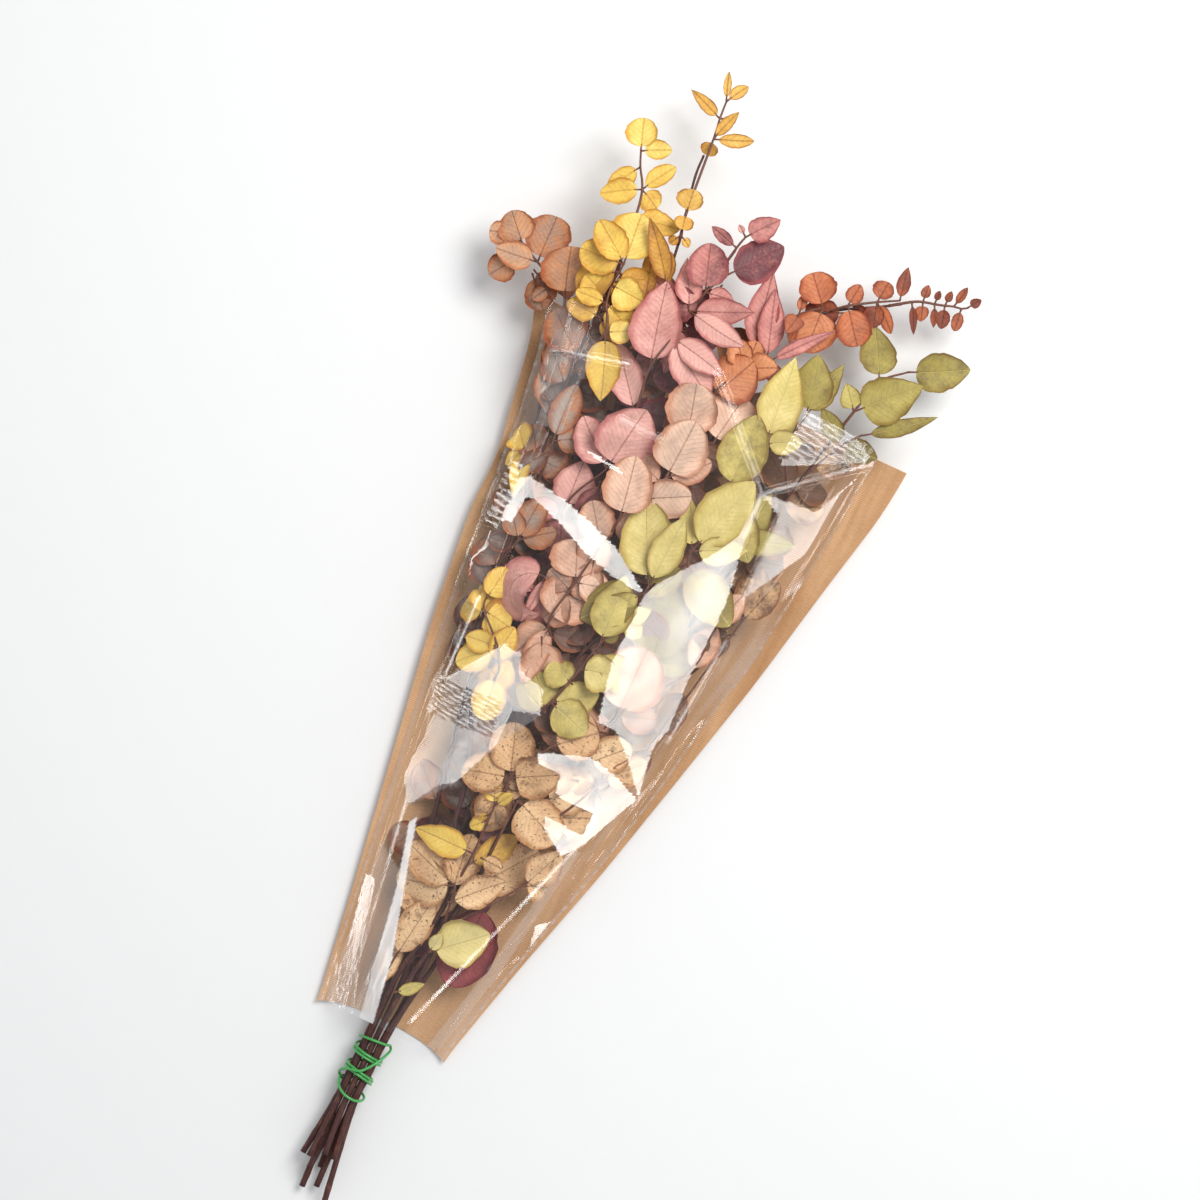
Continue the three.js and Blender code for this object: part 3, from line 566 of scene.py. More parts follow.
def plane_groups(corners, triangles):
    """The corner numbers on each flat face of a CAD spray, with the face's normal and depth."""
    planes = []
    for triangle in triangles:
        a, b, c = (corners[i] for i in triangle)
        cross = (b - a).cross(c - a)
        if cross.length < SLIVER:
            continue
        normal = cross.normalized()
        for plane in planes:
            off = plane["normal"].dot(a) - plane["depth"]
            if plane["normal"].dot(normal) > ONE_PLANE and abs(off) < SAME_DEPTH:
                plane["corners"].update(triangle)
                if cross.length > plane["largest"]:
                    plane.update(largest=cross.length, normal=normal, depth=normal.dot(a))
                break
        else:
            planes.append({
                "normal": normal, "depth": normal.dot(a), "largest": cross.length,
                "corners": set(triangle),
            })
    return planes


def leaf_on(places, normal):
    """The leaf plate whose outline best explains the corners on one flat face, or None.

    Its outline has the blade's start, its widest place, its shoulder and its tip at fixed
    shares of its length, each but the tip as two corners that mirror each other.
    """
    pairs = []
    for i, first in enumerate(places):
        for second in places[i + 1:]:
            if (first - second).length > SHORTEST_PAIR:
                pairs.append((first, second, (first + second) / 2, (first - second).normalized()))
    guesses = []
    for first, second, middle, across in pairs:
        half = (first - second).length / 2
        for tip in places:
            spine = tip - middle
            if spine.length > SHORTEST_SPINE and abs(spine.dot(across)) < SQUARE:
                axis = spine.normalized()
                for start, side in ((WIDEST_AT, 1.0), (SHOULDER_AT, SHOULDER_WIDTH)):
                    guesses.append((tip, axis, spine.length / (1 - start), half / side))
    for i, (first, second, middle, across) in enumerate(pairs):
        for other, another, upper, aligned in pairs[i + 1:]:
            spine = upper - middle
            if abs(across.dot(aligned)) < PARALLEL or abs(spine.dot(across)) > SQUARE:
                continue
            if spine.length < SHORTEST_SPINE:
                continue
            wide, narrow = (first - second).length, (other - another).length
            if narrow > wide:
                spine, wide, narrow, middle = -spine, narrow, wide, upper
            if abs(narrow / wide - SHOULDER_WIDTH) < 0.004:
                length = spine.length / (SHOULDER_AT - WIDEST_AT)
                axis = spine.normalized()
                tip = middle + axis * length * (1 - WIDEST_AT)
                guesses.append((tip, axis, length, wide / 2))
    best, most = None, 4
    for tip, axis, length, half in guesses:
        aside = normal.cross(axis)
        outline = [(0.0, PETIOLE_WIDTH / 2), (WIDEST_AT, half)]
        outline += [(SHOULDER_AT, half * SHOULDER_WIDTH), (1.0, 0.0)]
        hits = 0
        for share, out in outline:
            spot = tip - axis * length * (1 - share)
            for sign in (1, -1) if out else (1,):
                goal = spot + aside * out * sign
                hits += any((goal - place).length < SAME_PLACE for place in places)
        if hits > most:
            most = hits
            best = (tip - axis * length, axis, length, half * 2)
    return best


def leaves_in(node):
    """(blade start, axis, normal, blade length, width) of each leaf in a CAD spray."""
    corners, triangles = welded(node)
    planes = plane_groups(corners, triangles)
    found = []
    for top in planes:
        if top["normal"].z <= 0 or len(top["corners"]) < 5:
            continue
        for under in planes:
            facing = top["normal"].dot(under["normal"]) < OPPOSITE
            if facing and abs(top["depth"] + under["depth"] - PLATE_THICKNESS) < 2e-5:
                leaf = leaf_on([corners[i] for i in top["corners"]], top["normal"])
                if leaf:
                    start, axis, length, width = leaf
                    middle = start - top["normal"] * PLATE_THICKNESS / 2
                    found.append((middle, axis, top["normal"], length, width))
                break
    return found


def dyed_leaf(name, dye, spots):
    """Leathery leaf of one dye: tone from pale to dark, veins, blotches and a browned rim. For half
    hidden and inner leaves the tone also holds painted shade.
    """
    light, middle, dark, rim, vein = (rgb(*colour) for colour in DYES[dye])
    material, start = new_material(name)
    blade = start.attribute("blade")
    dyed = start.attribute("dyed")
    across = abs(blade.part(0))
    along = blade.part(1)
    share = abs(blade.part(2))
    # The tone is the dye's darkness, with painted shade added for half hidden and inner leaves.
    tone = dyed.part(0)
    place = start.object_place().shifted(dyed)
    wander = place.noise(300.0, 2.0) - 0.5
    vein_phase = (along - across * 0.8) * (1 / VEIN_SPACING) + wander * 1.2
    side_vein = (vein_phase * (2 * math.pi)).sine().ramp(0.86, 1.0) * (1.0 - share.ramp(0.8, 0.9))
    net = place.noise(1500.0, 2.0)
    midrib = 1.0 - across.ramp(0.12, 0.62)
    edge_vein = 1.0 - abs(share - 0.86 + wander * 0.05).ramp(0.0, 0.05)
    blotch = place.noise(95.0, 3.0, 0.6)
    mottle = place.noise(480.0, 4.0, 0.65)
    depth = tone + (blotch - 0.5) * 1.0 + (mottle - 0.5) * 0.5 + share.ramp(0.55, 1.1) * 0.18
    body = depth.ramp(0.0, 0.55).mix(light, middle)
    body = depth.ramp(0.45, 1.05).mix(body, dark)
    rusty = share.ramp(0.66, 1.0) * (0.35 + 0.9 * blotch)
    body = (rusty * 0.85).mix(body, rim)
    seed = dyed.part(1)
    bloom = (1.0 - share.ramp(0.3, 0.85)) * (0.35 + 0.65 * seed) * blotch.ramp(0.35, 0.6)
    body = (bloom * BLOOM.get(dye, 0.16)).mix(body, rgb(180, 162, 150))
    lines = midrib * 0.50 + side_vein * 0.26 + edge_vein * 0.20 + net.ramp(0.52, 0.7) * 0.22
    body = (lines.ramp(0.0, 1.0) * 0.85).mix(body, vein)
    if spots:
        specks = place.noise(650.0, 1.0, 0.4).ramp(0.64, 0.70)
        stains = place.noise(150.0, 2.0, 0.5).ramp(0.56, 0.72)
        body = ((specks * 0.8 + stains * 0.55) * spots).ramp(0.0, 1.0).mix(body, rgb(104, 62, 36))
    relief = net * 0.25 + mottle * 0.35 - side_vein * 0.5 - midrib * 1.2 - edge_vein * 0.3
    surface(start, {
        "Base Color": body,
        "Roughness": 0.46 + 0.22 * mottle + 0.08 * blotch,
        "Specular IOR Level": 0.42,
        "Normal": relief.bump(0.7, 0.00045),
        "Sheen Weight": 0.08,
    })
    return material


leaf_paint = {dye: dyed_leaf(dye + "_leaf", dye, SPOTTED.get(dye, 0.0)) for dye in DYES}
twig_bark = bark_material("twig_bark", rgb(98, 54, 42), rgb(168, 110, 78))


def outline_half(share, ratio, base, tip):
    """Half the leaf's width at a share of its blade, from 0 to 1 of the widest."""
    early = (0.40 + 0.34 * (1 - ratio)) * base
    late = (0.50 + 0.52 * (1 - ratio)) * tip
    peak = early / (early + late)
    share = min(max(share, 0.0), 1.0)
    return (share / peak) ** early * ((1 - share) / (1 - peak)) ** late


def leaf_body(start, axis, normal, length, width, curl, point, rows, columns):
    """Corners, faces and blade places of one leaf, as a thin closed body."""
    aside = normal.cross(axis)
    ratio = min(1.0, width / length)
    fold = random.uniform(0.06, 0.36) * random.choice((1, 1, 1, -0.6))
    droop = random.uniform(-0.06, 0.16)
    wave = random.uniform(0.06, 0.19)
    beats = random.uniform(5.0, 10.0)
    twist = random.uniform(-0.35, 0.35)
    phase = random.uniform(0, 2 * math.pi)
    sway = random.uniform(-0.07, 0.07) * (1.6 - ratio)
    lopsided = random.uniform(-0.07, 0.07)
    base, tip = random.uniform(0.85, 1.2), random.uniform(0.85, 1.25) * point
    corners, places = [], []
    stalk = PETIOLE_WIDTH / 2 / (width / 2)
    for row in range(rows + 1):
        share = (1 - math.cos(math.pi * row / rows)) / 2
        half = max(outline_half(share, ratio, base, tip), stalk * (1 - share), 0.012)
        for column in range(-columns, columns + 1):
            out = column / columns
            notches = math.sin(share * 23 + phase + out * 2)
            notches += 0.7 * math.sin(share * 41 + 2 * phase)
            side = out * half * width / 2 * (1 + 0.028 * notches * abs(out)) * (1 + lopsided * out)
            bend = math.sin(math.pi * share * 0.5) ** 2
            lift = fold * abs(side) * (1 - 0.4 * share) - droop * length * bend
            swell = math.sin(share * beats + phase + 1.3 * out)
            lift += wave * width * 0.5 * out * out * half * swell
            lift += twist * side * (share - 0.3)
            forward = share * length
            sideways = side + sway * length * share * share
            place = start + axis * forward + aside * sideways + normal * lift
            if curl:
                # A leaf that dried into a hoop: it bends round, with its blade standing on edge.
                turn = share * HOOP_TURN * curl
                ring = length * HOOP_RADIUS
                outward = axis * math.sin(turn) - aside * math.cos(turn)
                place = start + aside * ring + outward * (ring + 0.65 * side)
                place -= normal * (0.75 * side - 0.002)
            place.z = max(place.z, LOWEST_LEAF)
            corners.append(place)
            places.append((out * half * width / 2 / MM, forward / MM, out))
    wide = 2 * columns + 1
    count = len(corners)
    skin = grid_faces(wide - 1, rows)
    offset = normal * BLADE_THICKNESS / 2
    body = [c + offset for c in corners] + [c - offset for c in corners]
    faces = [face[::-1] for face in skin] + [tuple(i + count for i in face) for face in skin]
    rim = [row * wide for row in range(rows + 1)]
    rim += [rows * wide + column for column in range(1, wide)]
    rim += [row * wide + wide - 1 for row in range(rows - 1, -1, -1)]
    rim += list(range(wide - 2, 0, -1))
    for first, second in zip(rim, rim[1:] + rim[:1]):
        faces.append((first, second, second + count, first + count))
    return body, faces, places + places


def petiole_length(blade):
    return max(SHORTEST_STALK, STALK_SHARE * blade)


def chained(start, places):
    """The places in order along a twig: from the start, each time the nearest one left."""
    left, line = list(places), [start]
    while left:
        nearest = min(left, key=lambda place: (place - line[-1]).length)
        left.remove(nearest)
        line.append(nearest)
    return line


def twig_line(node, leaves, roots):
    """The line of a spray's twig, from its stem through the roots of its leaves."""
    corners, _ = welded(node)
    woody = [
        corner for corner in corners
        if all(abs((corner - leaf[0]).dot(leaf[2])) > OFF_PLATE for leaf in leaves)
    ]
    nearest = None
    for line in stem_lines.values():
        for place in line:
            for corner in woody:
                gap = (corner - place).length
                if nearest is None or gap < nearest[0]:
                    nearest = (gap, place)
    joint = nearest[1]
    nodes = []
    for root in roots:
        if all((root - other).length > APART for other in nodes):
            nodes.append(root)
    return spline_through(chained(joint, nodes), TWIG_STEP)


def store_vectors(made, label, values):
    """Keeps one vector for each corner of a mesh, for its material to read."""
    attribute = made.data.attributes.new(label, "FLOAT_VECTOR", "POINT")
    attribute.data.foreach_set("vector", [c for value in values for c in value])


def swung(axis, angle, rise):
    """An axis turned about the upright and then given this slope."""
    turned = axis.copy()
    turned.rotate(Quaternion(UP, angle))
    turned.z = rise
    return turned.normalized()


def nearly_up(axis, spread):
    """A leaf's normal, square to its axis and otherwise within a spread of the upright."""
    loose = Vector((random.uniform(-spread, spread), random.uniform(-spread, spread), 1))
    loose.normalize()
    return (loose - axis * loose.dot(axis)).normalized()


class Growth:
    """Leaves, stalks and twigs gathered into one mesh."""

    def __init__(self):
        self.vertices, self.faces, self.places, self.dyed, self.paints = [], [], [], [], []

    def add(self, body, skin, places, dyed, paint):
        """Takes in one more body; paint is 0 for leaf and 1 for bark."""
        first = len(self.vertices)
        self.vertices += body
        self.faces += [tuple(i + first for i in face) for face in skin]
        self.places += places or [(0, 0, 0)] * len(body)
        self.dyed += [dyed] * len(body)
        self.paints += [paint] * len(skin)

    def leaf(self, root, start, axis, normal, size, tone, detail, curl=0.0, point=1.0):
        """One leaf whose stalk runs from root to start and whose blade runs along axis."""
        tone = min(1.15, max(0.0, tone + random.uniform(-TONE_SPREAD, TONE_SPREAD)))
        outside = (root.y - tie_origin.y) / MM > KRAFT_TO
        dyed = (tone, random.uniform(0, 1) * (BLOOM_LEFT if outside else 1.0), random.uniform(0, 1))
        body, skin, places = leaf_body(start, axis, normal, *size, curl, point, *detail)
        self.add(body, skin, places, dyed, 0)
        bend = (root + start) / 2 - normal * 0.0004
        stalk = spline_through([root, bend, start + axis * 0.0015], 0.001)
        self.add(*tube(stalk, lambda share: STALK_RADIUS - 0.0002 * share, 6), None, dyed, 1)

    def piece(self, name, dye, slot):
        """The finished mesh, as a piece of the bunch."""
        made = mesh_object(name, self.vertices, self.faces, leaf_paint[dye])
        made.data.materials.append(twig_bark)
        made.data.polygons.foreach_set("material_index", self.paints)
        store_vectors(made, "blade", self.places)
        store_vectors(made, "dyed", self.dyed)
        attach(made, "root")
        return made


SLEEVE_SIDE_ROOM = (12.0, 26.0)  # mm kept free of leaves inside the left and the right edge
LOWEST_TIP = 3.0  # mm
# Past the mouth of the sleeve, where a filling leaf may stand out of it: from and up to, mm.
MOUTH, MOUTH_SIDES = (466, 503), (-86, 44)


def fits(place):
    """Whether a filling leaf's tip may be here, over the paper and inside its edges."""
    x, y, z = ((place - tie_origin) / MM)[:]
    if y > MOUTH[0]:
        return y < MOUTH[1] and MOUTH_SIDES[0] < x < MOUTH_SIDES[1]
    left, right = along_line(KRAFT_LEFT, y), along_line(KRAFT_RIGHT, y)
    return left + SLEEVE_SIDE_ROOM[0] < x < right - SLEEVE_SIDE_ROOM[1] and z > LOWEST_TIP


slot_of = {part["node"]: part["material_slot"] for part in frame["record"]["subparts"]}
BLADE_LONGER, BLADE_WIDER = 1.12, 1.22  # the drawn blade against the CAD's plain polygon
PAIRED_BELOW = 0.150  # past the frame's middle; beyond it only the OUTER_PAIRS are in pairs
OUTER_FROM = 474  # mm past the tie
OUTER_WIDTH = 0.009  # a narrower leaf is single there
OUTER_TIP_SIDE, OUTER_TIP_HEIGHT = 0.148, 0.012  # bounds on where the added leaf's tip is

for node in frame["nodes"]:
    if not slot_of.get(node, "").endswith("_leaf"):
        continue
    dye = slot_of[node].replace("_leaf", "")
    leaves = leaves_in(node)
    growth = Growth()
    roots = []
    base_tone = SPRAY_TONE.get(node, 0.5)
    for start, axis, normal, length, width in leaves:
        curl = CURLED.get(node, 0.0) if width > 0.01 else 0.0
        root = start - axis * petiole_length(length)
        roots.append(root)
        larger = LARGER.get(node, 1.0)
        wider = BLADE_WIDER * SLENDER.get(dye, 1.0)
        size = (length * BLADE_LONGER * larger, width * wider * larger)
        point = POINTED.get(dye, 1.0)
        growth.leaf(root, start, axis, normal, size, base_tone, FULL_DETAIL, curl, point)
        # Eucalyptus leaves come in pairs: the other one of the pair, lower and half hidden.
        swing = random.choice((-1, 1)) * random.uniform(1.7, 2.9)
        turned = swung(axis, swing, -random.uniform(0.15, 0.45))
        upright = nearly_up(turned, 0.3)
        share = random.uniform(0.85, 1.1)
        lower = root - Vector((0, random.uniform(0.003, 0.012), 0.0015))
        tip = lower + turned * length * 1.3
        inner = root.y < PAIRED_BELOW and fits(tip)
        outer = node in OUTER_PAIRS and (root.y - tie_origin.y) / MM > OUTER_FROM
        outer = outer and width > OUTER_WIDTH
        outer = outer and abs(tip.x) < OUTER_TIP_SIDE and tip.z > OUTER_TIP_HEIGHT
        if node.endswith("_spray") and node not in UNPAIRED and (inner or outer):
            begin = lower + turned * petiole_length(length)
            size = (length * share, max(width, 0.55 * length) * share)
            # Its darker tone is painted shade, for the shadow of the upper leaf.
            tone = base_tone + LOWER_LEAF_SHADE
            growth.leaf(lower, begin, turned, upright, size, tone, PLAIN_DETAIL)
    if node.endswith("_spray"):
        line = twig_line(node, leaves, roots)
        twig = tube(line, lambda share: TWIG_RADIUS * (1.12 - 0.42 * share), 8)
        growth.add(*twig, None, (0, 0, 0), 1)
    name = node.replace("_spray", "_leaves") if node.endswith("_spray") else node + "_blade"
    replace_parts(growth.piece(name, dye, slot_of[node]), node)

# ---------------------------------------------------------------- leaves inside the sleeve
# Each branch also carries leaves along its own length, pressed flat between the film and the
# paper. They lie behind the sprays and fill the sleeve, in opposite pairs at each leaf scar.

INNER_DYES = {
    "tan_stem": "tan", "yellow_stem": "tan", "gold_stem": "tan", "mauve_stem": "mauve",
    "rust_stem": "ochre", "peach_stem": "peach", "olive_stem": "ochre", "lime_stem": "peach",
    "ochre_stem": "ochre",
}
INNER_FROM, INNER_TO = 115.0, 495.0  # mm past the tie
HIGH_STEMS = ("yellow_stem", "peach_stem", "lime_stem", "ochre_stem")  # over the others
HIGH_FROM = 235.0
INNER_STEP = 15.0
# Painted shade: the leaves deep in the sleeve get a dark tone, for the shadow between the sprays.
INNER_SHADE_TONE = 0.95
INNER_STALK = 0.0035
TRIES = 6  # headings tried until one fits

for node, line in stem_lines.items():
    growth = Growth()
    reached = (HIGH_FROM if node in HIGH_STEMS else INNER_FROM) + random.uniform(0, INNER_STEP)
    for before, place, after in zip(line, line[1:], line[2:]):
        y = (place.y - tie_origin.y) / MM
        if y < reached or y > INNER_TO:
            continue
        reached = y + random.uniform(0.75, 1.25) * INNER_STEP
        ahead = (after - before).normalized()
        for side in (-1, 1):
            length = random.uniform(0.021, 0.030)
            for _ in range(TRIES):
                swing = side * random.uniform(0.6, 1.7)
                heading = swung(ahead, swing, random.uniform(-0.95, -0.15))
                if fits(place + heading * length * 1.15):
                    break
            else:
                continue
            upright = nearly_up(heading, 0.4)
            begin = place + heading * INNER_STALK
            size = (length, length * random.uniform(0.72, 0.98))
            growth.leaf(place, begin, heading, upright, size, INNER_SHADE_TONE, PLAIN_DETAIL)
    dye = INNER_DYES[node]
    if growth.faces:
        growth.piece(node.replace("_stem", "_inner_leaves"), dye, dye + "_leaf")

# ---------------------------------------------------------------- green wire tie
# One length of green plastic-coated wire, wound down round the stems in pairs of strands and
# crossed back over them, with its end tucked under the last turn.

WIRE_RADIUS = 0.00082
WIRE_WIDTH = 1.7  # mm, with its coating, by which the crossing strand lies further out
TIE_RADIUS = 9.6  # mm, from the bundle's middle line to the wire's
# Each pass over the front: how far past the tie it starts at the left, is in the middle, and
# ends at the right.
TIE_PASSES = [
    (18.0, 20.4, 20.6), (12.6, 10.6, 8.9), (10.6, 8.6, 6.9), (0.9, -0.6, -4.0),
    (-1.0, -2.6, -6.0), (-9.6, -17.4, -15.5),
]
# The last strand goes back over them: (degrees round from the left, mm past the tie).
TIE_CROSSING = [(0, -7.0), (35, -3.0), (70, -1.0), (95, 1.0), (125, 8.0), (150, 14.0), (175, 18.0)]

tie_low, tie_high = (Vector(corner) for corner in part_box("green_tie"))
bundle_height = ((tie_low + tie_high) / 2).z / MM


def round_bundle(degrees, y, radius=TIE_RADIUS):
    """A place on the wire, from 0 degrees at the left over the front to 180 at the right."""
    angle = math.radians(degrees)
    return laid(-radius * math.cos(angle), y, bundle_height + radius * math.sin(angle))


wire_points = []
for number, (left, middle, right) in enumerate(TIE_PASSES):
    for degrees in range(0, 181, 30):
        share = degrees / 180
        bow = (middle - (left + right) / 2) * math.sin(math.pi * share)
        wire_points.append(round_bundle(degrees, left + (right - left) * share + bow))
    following = TIE_PASSES[min(len(TIE_PASSES) - 1, number + 1)][0]
    for degrees in range(210, 360, 30):
        y = right + (following - right) * (degrees - 180) / 180
        wire_points.append(round_bundle(degrees, y))
wire_points += [round_bundle(degrees, y, TIE_RADIUS + WIRE_WIDTH) for degrees, y in TIE_CROSSING]
wire_points.append(round_bundle(200, 20.0, TIE_RADIUS + 1.0))

green_wire, start = new_material("green_wire")
scuff = start.object_place().noise(900.0, 3.0)
surface(start, {
    "Base Color": scuff.mix(rgb(38, 140, 62), rgb(86, 186, 98)),
    "Roughness": 0.28 + 0.2 * scuff,
    "Coat Weight": 0.3,
    "Normal": scuff.bump(0.2, 0.0002),
})
wire_line = spline_through(wire_points, 0.0012)
vertices, faces = tube(wire_line, lambda share: WIRE_RADIUS, 10)
tie = mesh_object("green_wire_tie", vertices, faces, green_wire)
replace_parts(tie, "green_tie")
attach(tie, "root")

# ---------------------------------------------------------------- clear film front
# The front of the sleeve is crisp clear film, sealed to the paper along both long edges. It
# stands off the leaves in flat facets between sharp creases, and gathers in above the tie.

FILM_COLUMNS, FILM_ROWS = 168, 340
FILM_FROM, FILM_TO = 25, 473  # mm past the tie
FILM_LEFT = [
    (24, -41), (90, -50), (180, -63), (270, -76), (340, -83), (410, -90), (450, -96), (473, -104),
]
FILM_RIGHT = [
    (24, 42), (95, 58), (170, 77), (235, 90), (270, 95), (300, 101), (325, 107), (365, 110),
    (400, 115), (466, 119), (473, 120),
]
FILM_DIP = 5.0  # mm that the lower edge curves up in its middle
OVER_PAPER = 0.4  # mm from the paper's face to the film at the seals
SEAL_WIDTH = 1.6  # mm
SEAL_SLOPE = 16.0  # mm over which the film rises from its seals
PLEATED_SHARE = 0.30  # of the half width, beside each seal
LEAF_PUSH, SEAL_REACH = 18.0, 8.0  # mm that leaves may lift it, except this near to a seal
LEAF_GAP, TENT_STEP = 0.5, 0.8  # mm over a leaf, and from one corner of the mesh to the next
# A long band of painted white glare on the lower left, where the film folds; it is also a facet
# that faces the light.
GLARE_BAND = [
    (-39, 150), (-29, 113), (-21, 67), (-14, 28), (-5, 28), (-8, 46), (-12, 71), (-21, 103),
    (-36, 156),
]
MOUTH_CORNER = [(66, 437), (118, 466), (92, 474), (66, 474)]
# Flat facets that face the light, as outlines in the bunch's own layout, with how bright each is: 1
# faces it squarely. Their brightness also lays a painted white glare on them.
FACETS = [
    ([(-64, 368), (-40, 364), (-20, 359), (0, 352), (10, 346), (27, 335), (22, 334), (5, 336),
      (-15, 341), (-35, 350), (-50, 355), (-60, 357), (-62, 338), (-69, 337), (-70, 364)], 0.9),
    ([(-40, 396.5), (-14, 393.5), (-14, 391.5), (-40, 394.5)], 0.9),
    ([(64, 420), (67, 388), (74, 350), (74, 300), (77, 268), (73, 254), (80, 221), (60, 244),
      (48, 254), (36, 254), (28, 290), (28, 335), (33, 345), (55, 375), (62, 388)], 0.8),
    ([(64, 418), (98, 423), (118, 466), (106, 438), (105, 400), (82, 358), (80, 410)], 0.72),
    (MOUTH_CORNER, 0.42),
    ([(12, 222), (20, 226), (42, 234), (60, 230), (79, 221), (72, 206), (62, 184), (52, 171),
      (35, 183), (32, 190), (58, 189), (58, 203), (32, 204), (30, 216), (15, 217)], 0.9),
    ([(-56, 237), (-40, 258), (-33, 271), (-22, 272), (-18, 262), (-1, 258), (4, 243), (-12, 238),
      (-12, 215), (-16, 204), (-24, 184), (-33, 178), (-44, 158), (-55, 172), (-54, 200)], 0.5),
    (GLARE_BAND, 0.8),
    ([(-50, 108), (-40, 60), (-37, 27), (-24, 25), (-30, 60), (-42, 108)], 1.0),
    ([(57, 125), (64, 130), (60, 108)], 0.9),
    ([(-72, 330), (-69, 318), (-74, 310), (-70, 296), (-76, 308), (-72, 318)], 0.8),
]
# Places where the film is finely pleated, with the spacing of the pleats in mm.
RIPPLES = [
    ([(64, 440), (112, 464), (92, 474), (66, 474)], 3.4),
    ([(-62, 236), (-20, 240), (-16, 218), (-60, 214)], 3.0),
    ([(-80, 372), (-70, 372), (-68, 330), (-78, 330)], 4.2),
]
# Sharp creases between facets, as lines with their half widths in mm.
CREASE_REACH, CREASE_DEPTH = 4.0, 1.2  # mm
CREASES = [
    ([(-30, 421), (-3, 421)], 0.8), ([(64, 418), (118, 466)], 1.2), ([(64, 418), (66, 388)], 1.4),
    ([(-85, 360), (-80, 310)], 1.0), ([(82, 358), (80, 410)], 1.2),
    ([(-56, 237), (-33, 271)], 1.2), ([(60, 185), (14, 40)], 1.1), ([(-24, 110), (-18, 34)], 1.2),
    ([(-52, 195), (-30, 60), (-20, 30)], 0.9), ([(-60, 290), (-58, 230)], 0.8),
    ([(84, 330), (80, 262)], 0.9), ([(-90, 440), (-40, 452)], 0.7), ([(10, 470), (64, 418)], 0.7),
    ([(-48, 60), (-30, 28)], 1.2),
]
# Places where the film is white, with how white: partly the haze of creased film, partly painted
# glare that stands in for light reflected there.
WHITE_HAZE_AND_GLARE = [
    ([(-56, 237), (-33, 271), (4, 243), (-12, 215), (-24, 184), (-44, 158)], 0.12),
    ([(-100, 468), (-60, 455), (-62, 400), (-84, 395)], 0.12),
    ([(62, 178), (50, 84), (38, 30), (30, 30), (42, 84), (56, 178)], 0.16),
    ([(-50, 130), (-38, 27), (-10, 27), (-14, 60), (-28, 120)], 0.17),
    (GLARE_BAND, 0.5),
    (MOUTH_CORNER, 0.12),
]


def near(points, x, y, reach):
    """Whether a place lies within this reach of the box round some points."""
    xs, ys = zip(*points)
    return min(xs) - reach < x < max(xs) + reach and min(ys) - reach < y < max(ys) + reach


def inside(outline, x, y):
    """Whether a place lies inside a closed outline."""
    hit = False
    if near(outline, x, y, 1.0):
        for (ax, ay), (bx, by) in zip(outline, outline[1:] + outline[:1]):
            if (ay > y) != (by > y) and x < ax + (bx - ax) * (y - ay) / (by - ay):
                hit = not hit
    return hit


def off_line(points, x, y):
    """How far a place is from a line of points."""
    best = math.inf
    for (ax, ay), (bx, by) in zip(points, points[1:]):
        length = (bx - ax) ** 2 + (by - ay) ** 2
        share = min(1.0, max(0.0, ((x - ax) * (bx - ax) + (y - ay) * (by - ay)) / length))
        best = min(best, math.hypot(x - ax - share * (bx - ax), y - ay - share * (by - ay)))
    return best


def shape_of(pieces):
    """The faces of some pieces together, to look down on."""
    corners, faces = [], []
    for piece in pieces:
        first = len(corners)
        corners += [v.co.copy() for v in piece.data.vertices]
        faces += [tuple(i + first for i in p.vertices) for p in piece.data.polygons]
    return BVHTree.FromPolygons(corners, faces)


def top_of(shape, x, y):
    """How high a shape's top is over a place, in mm, or None beside the shape."""
    hit = shape.ray_cast(laid(x, y, 200), -UP)[0]
    return hit and hit.z / MM


film_shape = shape_of([frame["nodes"]["clear_front"]])
leaf_shape = shape_of(
    made for made in bpy.context.scene.objects if made.name.endswith(("_leaves", "_blade")))


def film_height(x, y):
    """How high the CAD film is over a place, in mm, with its flat panels rounded off."""
    total = 0.0
    for dx in (-9, 0, 9):
        for dy in (-14, 0, 14):
            total += top_of(film_shape, x + dx, min(470.5, max(24.5, y + dy))) or 3.0
    return total / 9


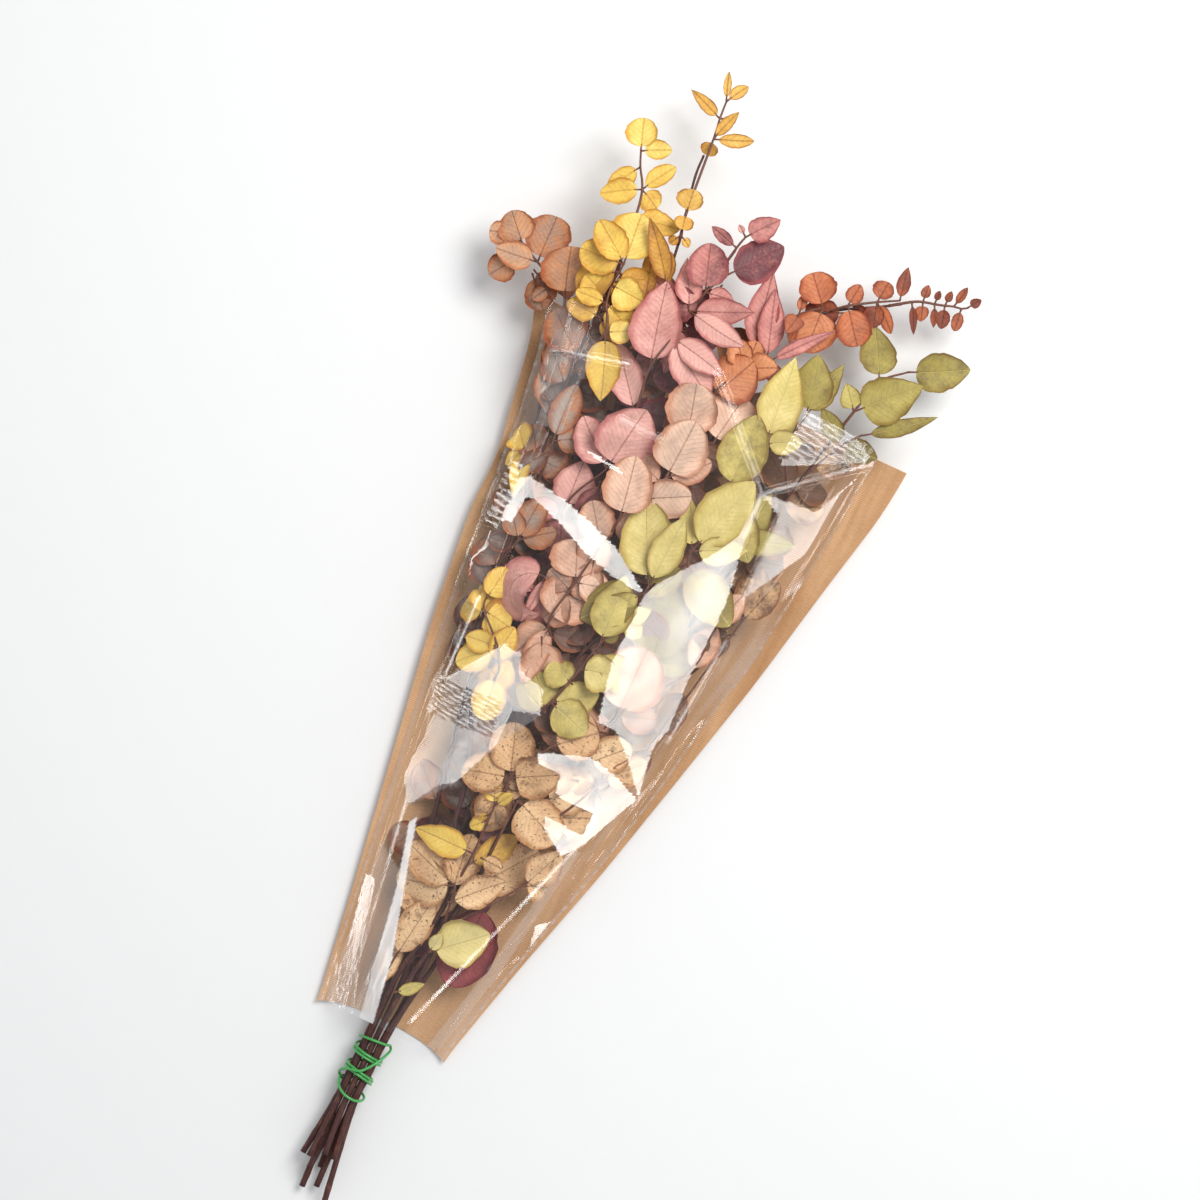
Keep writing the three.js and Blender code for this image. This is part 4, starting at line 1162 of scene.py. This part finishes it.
facing_light = (key_direction + UP).normalized()
film_vertices, leans, milk, pushes = [], [], [], []
for row in range(FILM_ROWS + 1):
    for column in range(FILM_COLUMNS + 1):
        share = 2 * column / FILM_COLUMNS - 1
        dip = FILM_DIP * (1 - share ** 2) ** 0.7
        y = FILM_FROM + (FILM_TO - FILM_FROM) * row / FILM_ROWS
        y += dip * (1 - row / FILM_ROWS) ** 3
        left, right = eased(FILM_LEFT, y), eased(FILM_RIGHT, y)
        x = left + (right - left) * (share + 1) / 2
        kraft_left, kraft_right = eased(KRAFT_LEFT, y), eased(KRAFT_RIGHT, y)
        kraft_share = 2 * (x - kraft_left) / (kraft_right - kraft_left) - 1
        on_paper = paper_height(kraft_share, min(y, KRAFT_TO)) + OVER_PAPER
        slope = min(1.0, (1 - abs(share)) * (right - left) / 2 / SEAL_SLOPE) ** 0.55
        height = on_paper + max(0.0, film_height(x, y) - on_paper) * slope
        bright = toward = 0.0
        for outline, how in FACETS:
            if inside(outline, x, y):
                bright, toward = max(bright, how), 1.0
        for line, wide in CREASES:
            if near(line, x, y, CREASE_REACH):
                gap = off_line(line, x, y)
                height -= CREASE_DEPTH * max(0.0, 1 - gap / CREASE_REACH)
                broken = 0.35 + 0.65 * abs(noise.noise(Vector((x, y, 0)) * 0.06))
                bright = max(bright, broken * max(0.0, 1.5 - gap / wide))
                toward = max(toward, min(1.0, 2 * (1 - gap / CREASE_REACH)))
        for outline, period in RIPPLES:
            if inside(outline, x, y):
                beat = math.sin(2 * math.pi * (y + 0.12 * x) / period)
                bright, toward = 0.75 * max(0.0, beat) ** 0.5, 1.0
        haze_and_glare = 0.0
        for outline, how in WHITE_HAZE_AND_GLARE:
            if inside(outline, x, y):
                haze_and_glare = max(haze_and_glare, how)
        seam = min(x - left, right - x)
        if seam < SEAL_WIDTH:
            haze_and_glare = max(haze_and_glare, 0.18 + 0.14 * math.sin(y * 0.9) * math.sin(y * 0.23))
        # Beside the seals the film is drawn into long thin pleats. Their pale streaks are painted
        # white, standing in for light reflected along them, and their ridges lean to the light.
        beside = max(0.0, abs(share) - (1 - PLEATED_SHARE)) / PLEATED_SHARE
        pleat = noise.noise(Vector((share * 15, y * 0.011, 0)))
        haze_and_glare = max(haze_and_glare, beside * 0.34 * max(0.0, pleat))
        ridge = max(0.0, 1 - abs(pleat + 0.12) / 0.07) * beside
        if ridge > 0 and not bright:
            bright, toward = 0.55 * ridge, 1.0
        wave = math.sin(x * 0.21 + y * 0.05) * math.sin(y * 0.083 + x * 0.04)
        ruffle = Vector((0.05 * wave, 0.04 * math.sin(y * 0.31 + x * 0.11), 0))
        lean = facing_light * toward + UP * (1 - toward)
        lean += (ruffle - key_heading * 0.05) * (1 - toward)
        film_vertices.append(laid(x, y, height))
        leans.append(lean.normalized())
        milk.append((bright, haze_and_glare, toward))
        under = top_of(leaf_shape, x, y) or 0.0
        most = LEAF_PUSH * min(1.0, seam / SEAL_REACH)
        pushes.append(min(most, max(0.0, under + LEAF_GAP - height)))

# Where a leaf presses on the film, the film stands over it like a tent.
wide = FILM_COLUMNS + 1
count = len(pushes)
for order, back in ((range(count), 1), (range(count - 1, -1, -1), -1)):
    for i in order:
        for step in (back, back * wide):
            if 0 <= i - step < count and (abs(step) > 1 or (i - step) // wide == i // wide):
                pushes[i] = max(pushes[i], pushes[i - step] - TENT_STEP)
for vertex, push in zip(film_vertices, pushes):
    vertex.z += push * MM

clear_film, start = new_material("clear_film")
lean = start.attribute("lean")
film_glare_and_haze = start.attribute("milk")
bright = film_glare_and_haze.part(0)
haze_and_glare = film_glare_and_haze.part(1)
facet = film_glare_and_haze.part(2)
place = start.object_place()
streak = place.scaled(1.0, 0.4, 1.0).noise(28.0, 3.0, 0.6).ramp(0.30, 0.68)
crumple = place.scaled(1.0, 0.35, 1.0).noise(90.0, 3.0, 0.6)
scratch = place.scaled(1.0, 0.08, 1.0).noise(700.0, 2.0)
wrinkled = (crumple * 0.8 + scratch * 0.10).bump(0.22, 0.001, Normal=lean)
facing = start.node("LayerWeight", {}, {"Blend": 0.5, "Normal": wrinkled}, output=1)
one_face = 0.045 + 0.955 * facing ** 5
clear = start.node("BsdfTransparent", {}, {"Color": (0.985, 0.985, 0.985, 1)})
gloss = {"Color": (1, 1, 1, 1), "Roughness": 0.06, "Normal": wrinkled}
glossy = start.node("BsdfAnisotropic", {}, gloss)
haze_and_glare_white = start.node("BsdfDiffuse", {}, {"Color": rgb(240, 240, 242)})
glint = 0.5 * (1.0 - facet) + bright * (0.55 + 0.60 * streak)
both_faces = 2.0 * one_face / (1.0 + one_face)
panes = start.node("MixShader", {}, {0: both_faces * glint, 1: clear, 2: glossy})
# A diffuse white over the film: the haze of its creased seals and folds, and painted glare of the
# light where it is bright, on facets, creases and pleats.
white_haze_and_painted_glare = haze_and_glare + 0.14 * bright * (0.4 + 0.6 * streak)
film_mix = start.node("MixShader", {}, {0: white_haze_and_painted_glare, 1: panes, 2: haze_and_glare_white})
start.node("OutputMaterial", {}, {"Surface": film_mix})

film_faces = grid_faces(FILM_COLUMNS, FILM_ROWS)
film = mesh_object("clear_film_front", film_vertices, film_faces, clear_film)
store_vectors(film, "lean", leans)
store_vectors(film, "milk", milk)
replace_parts(film, "clear_front")
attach(film, "root")
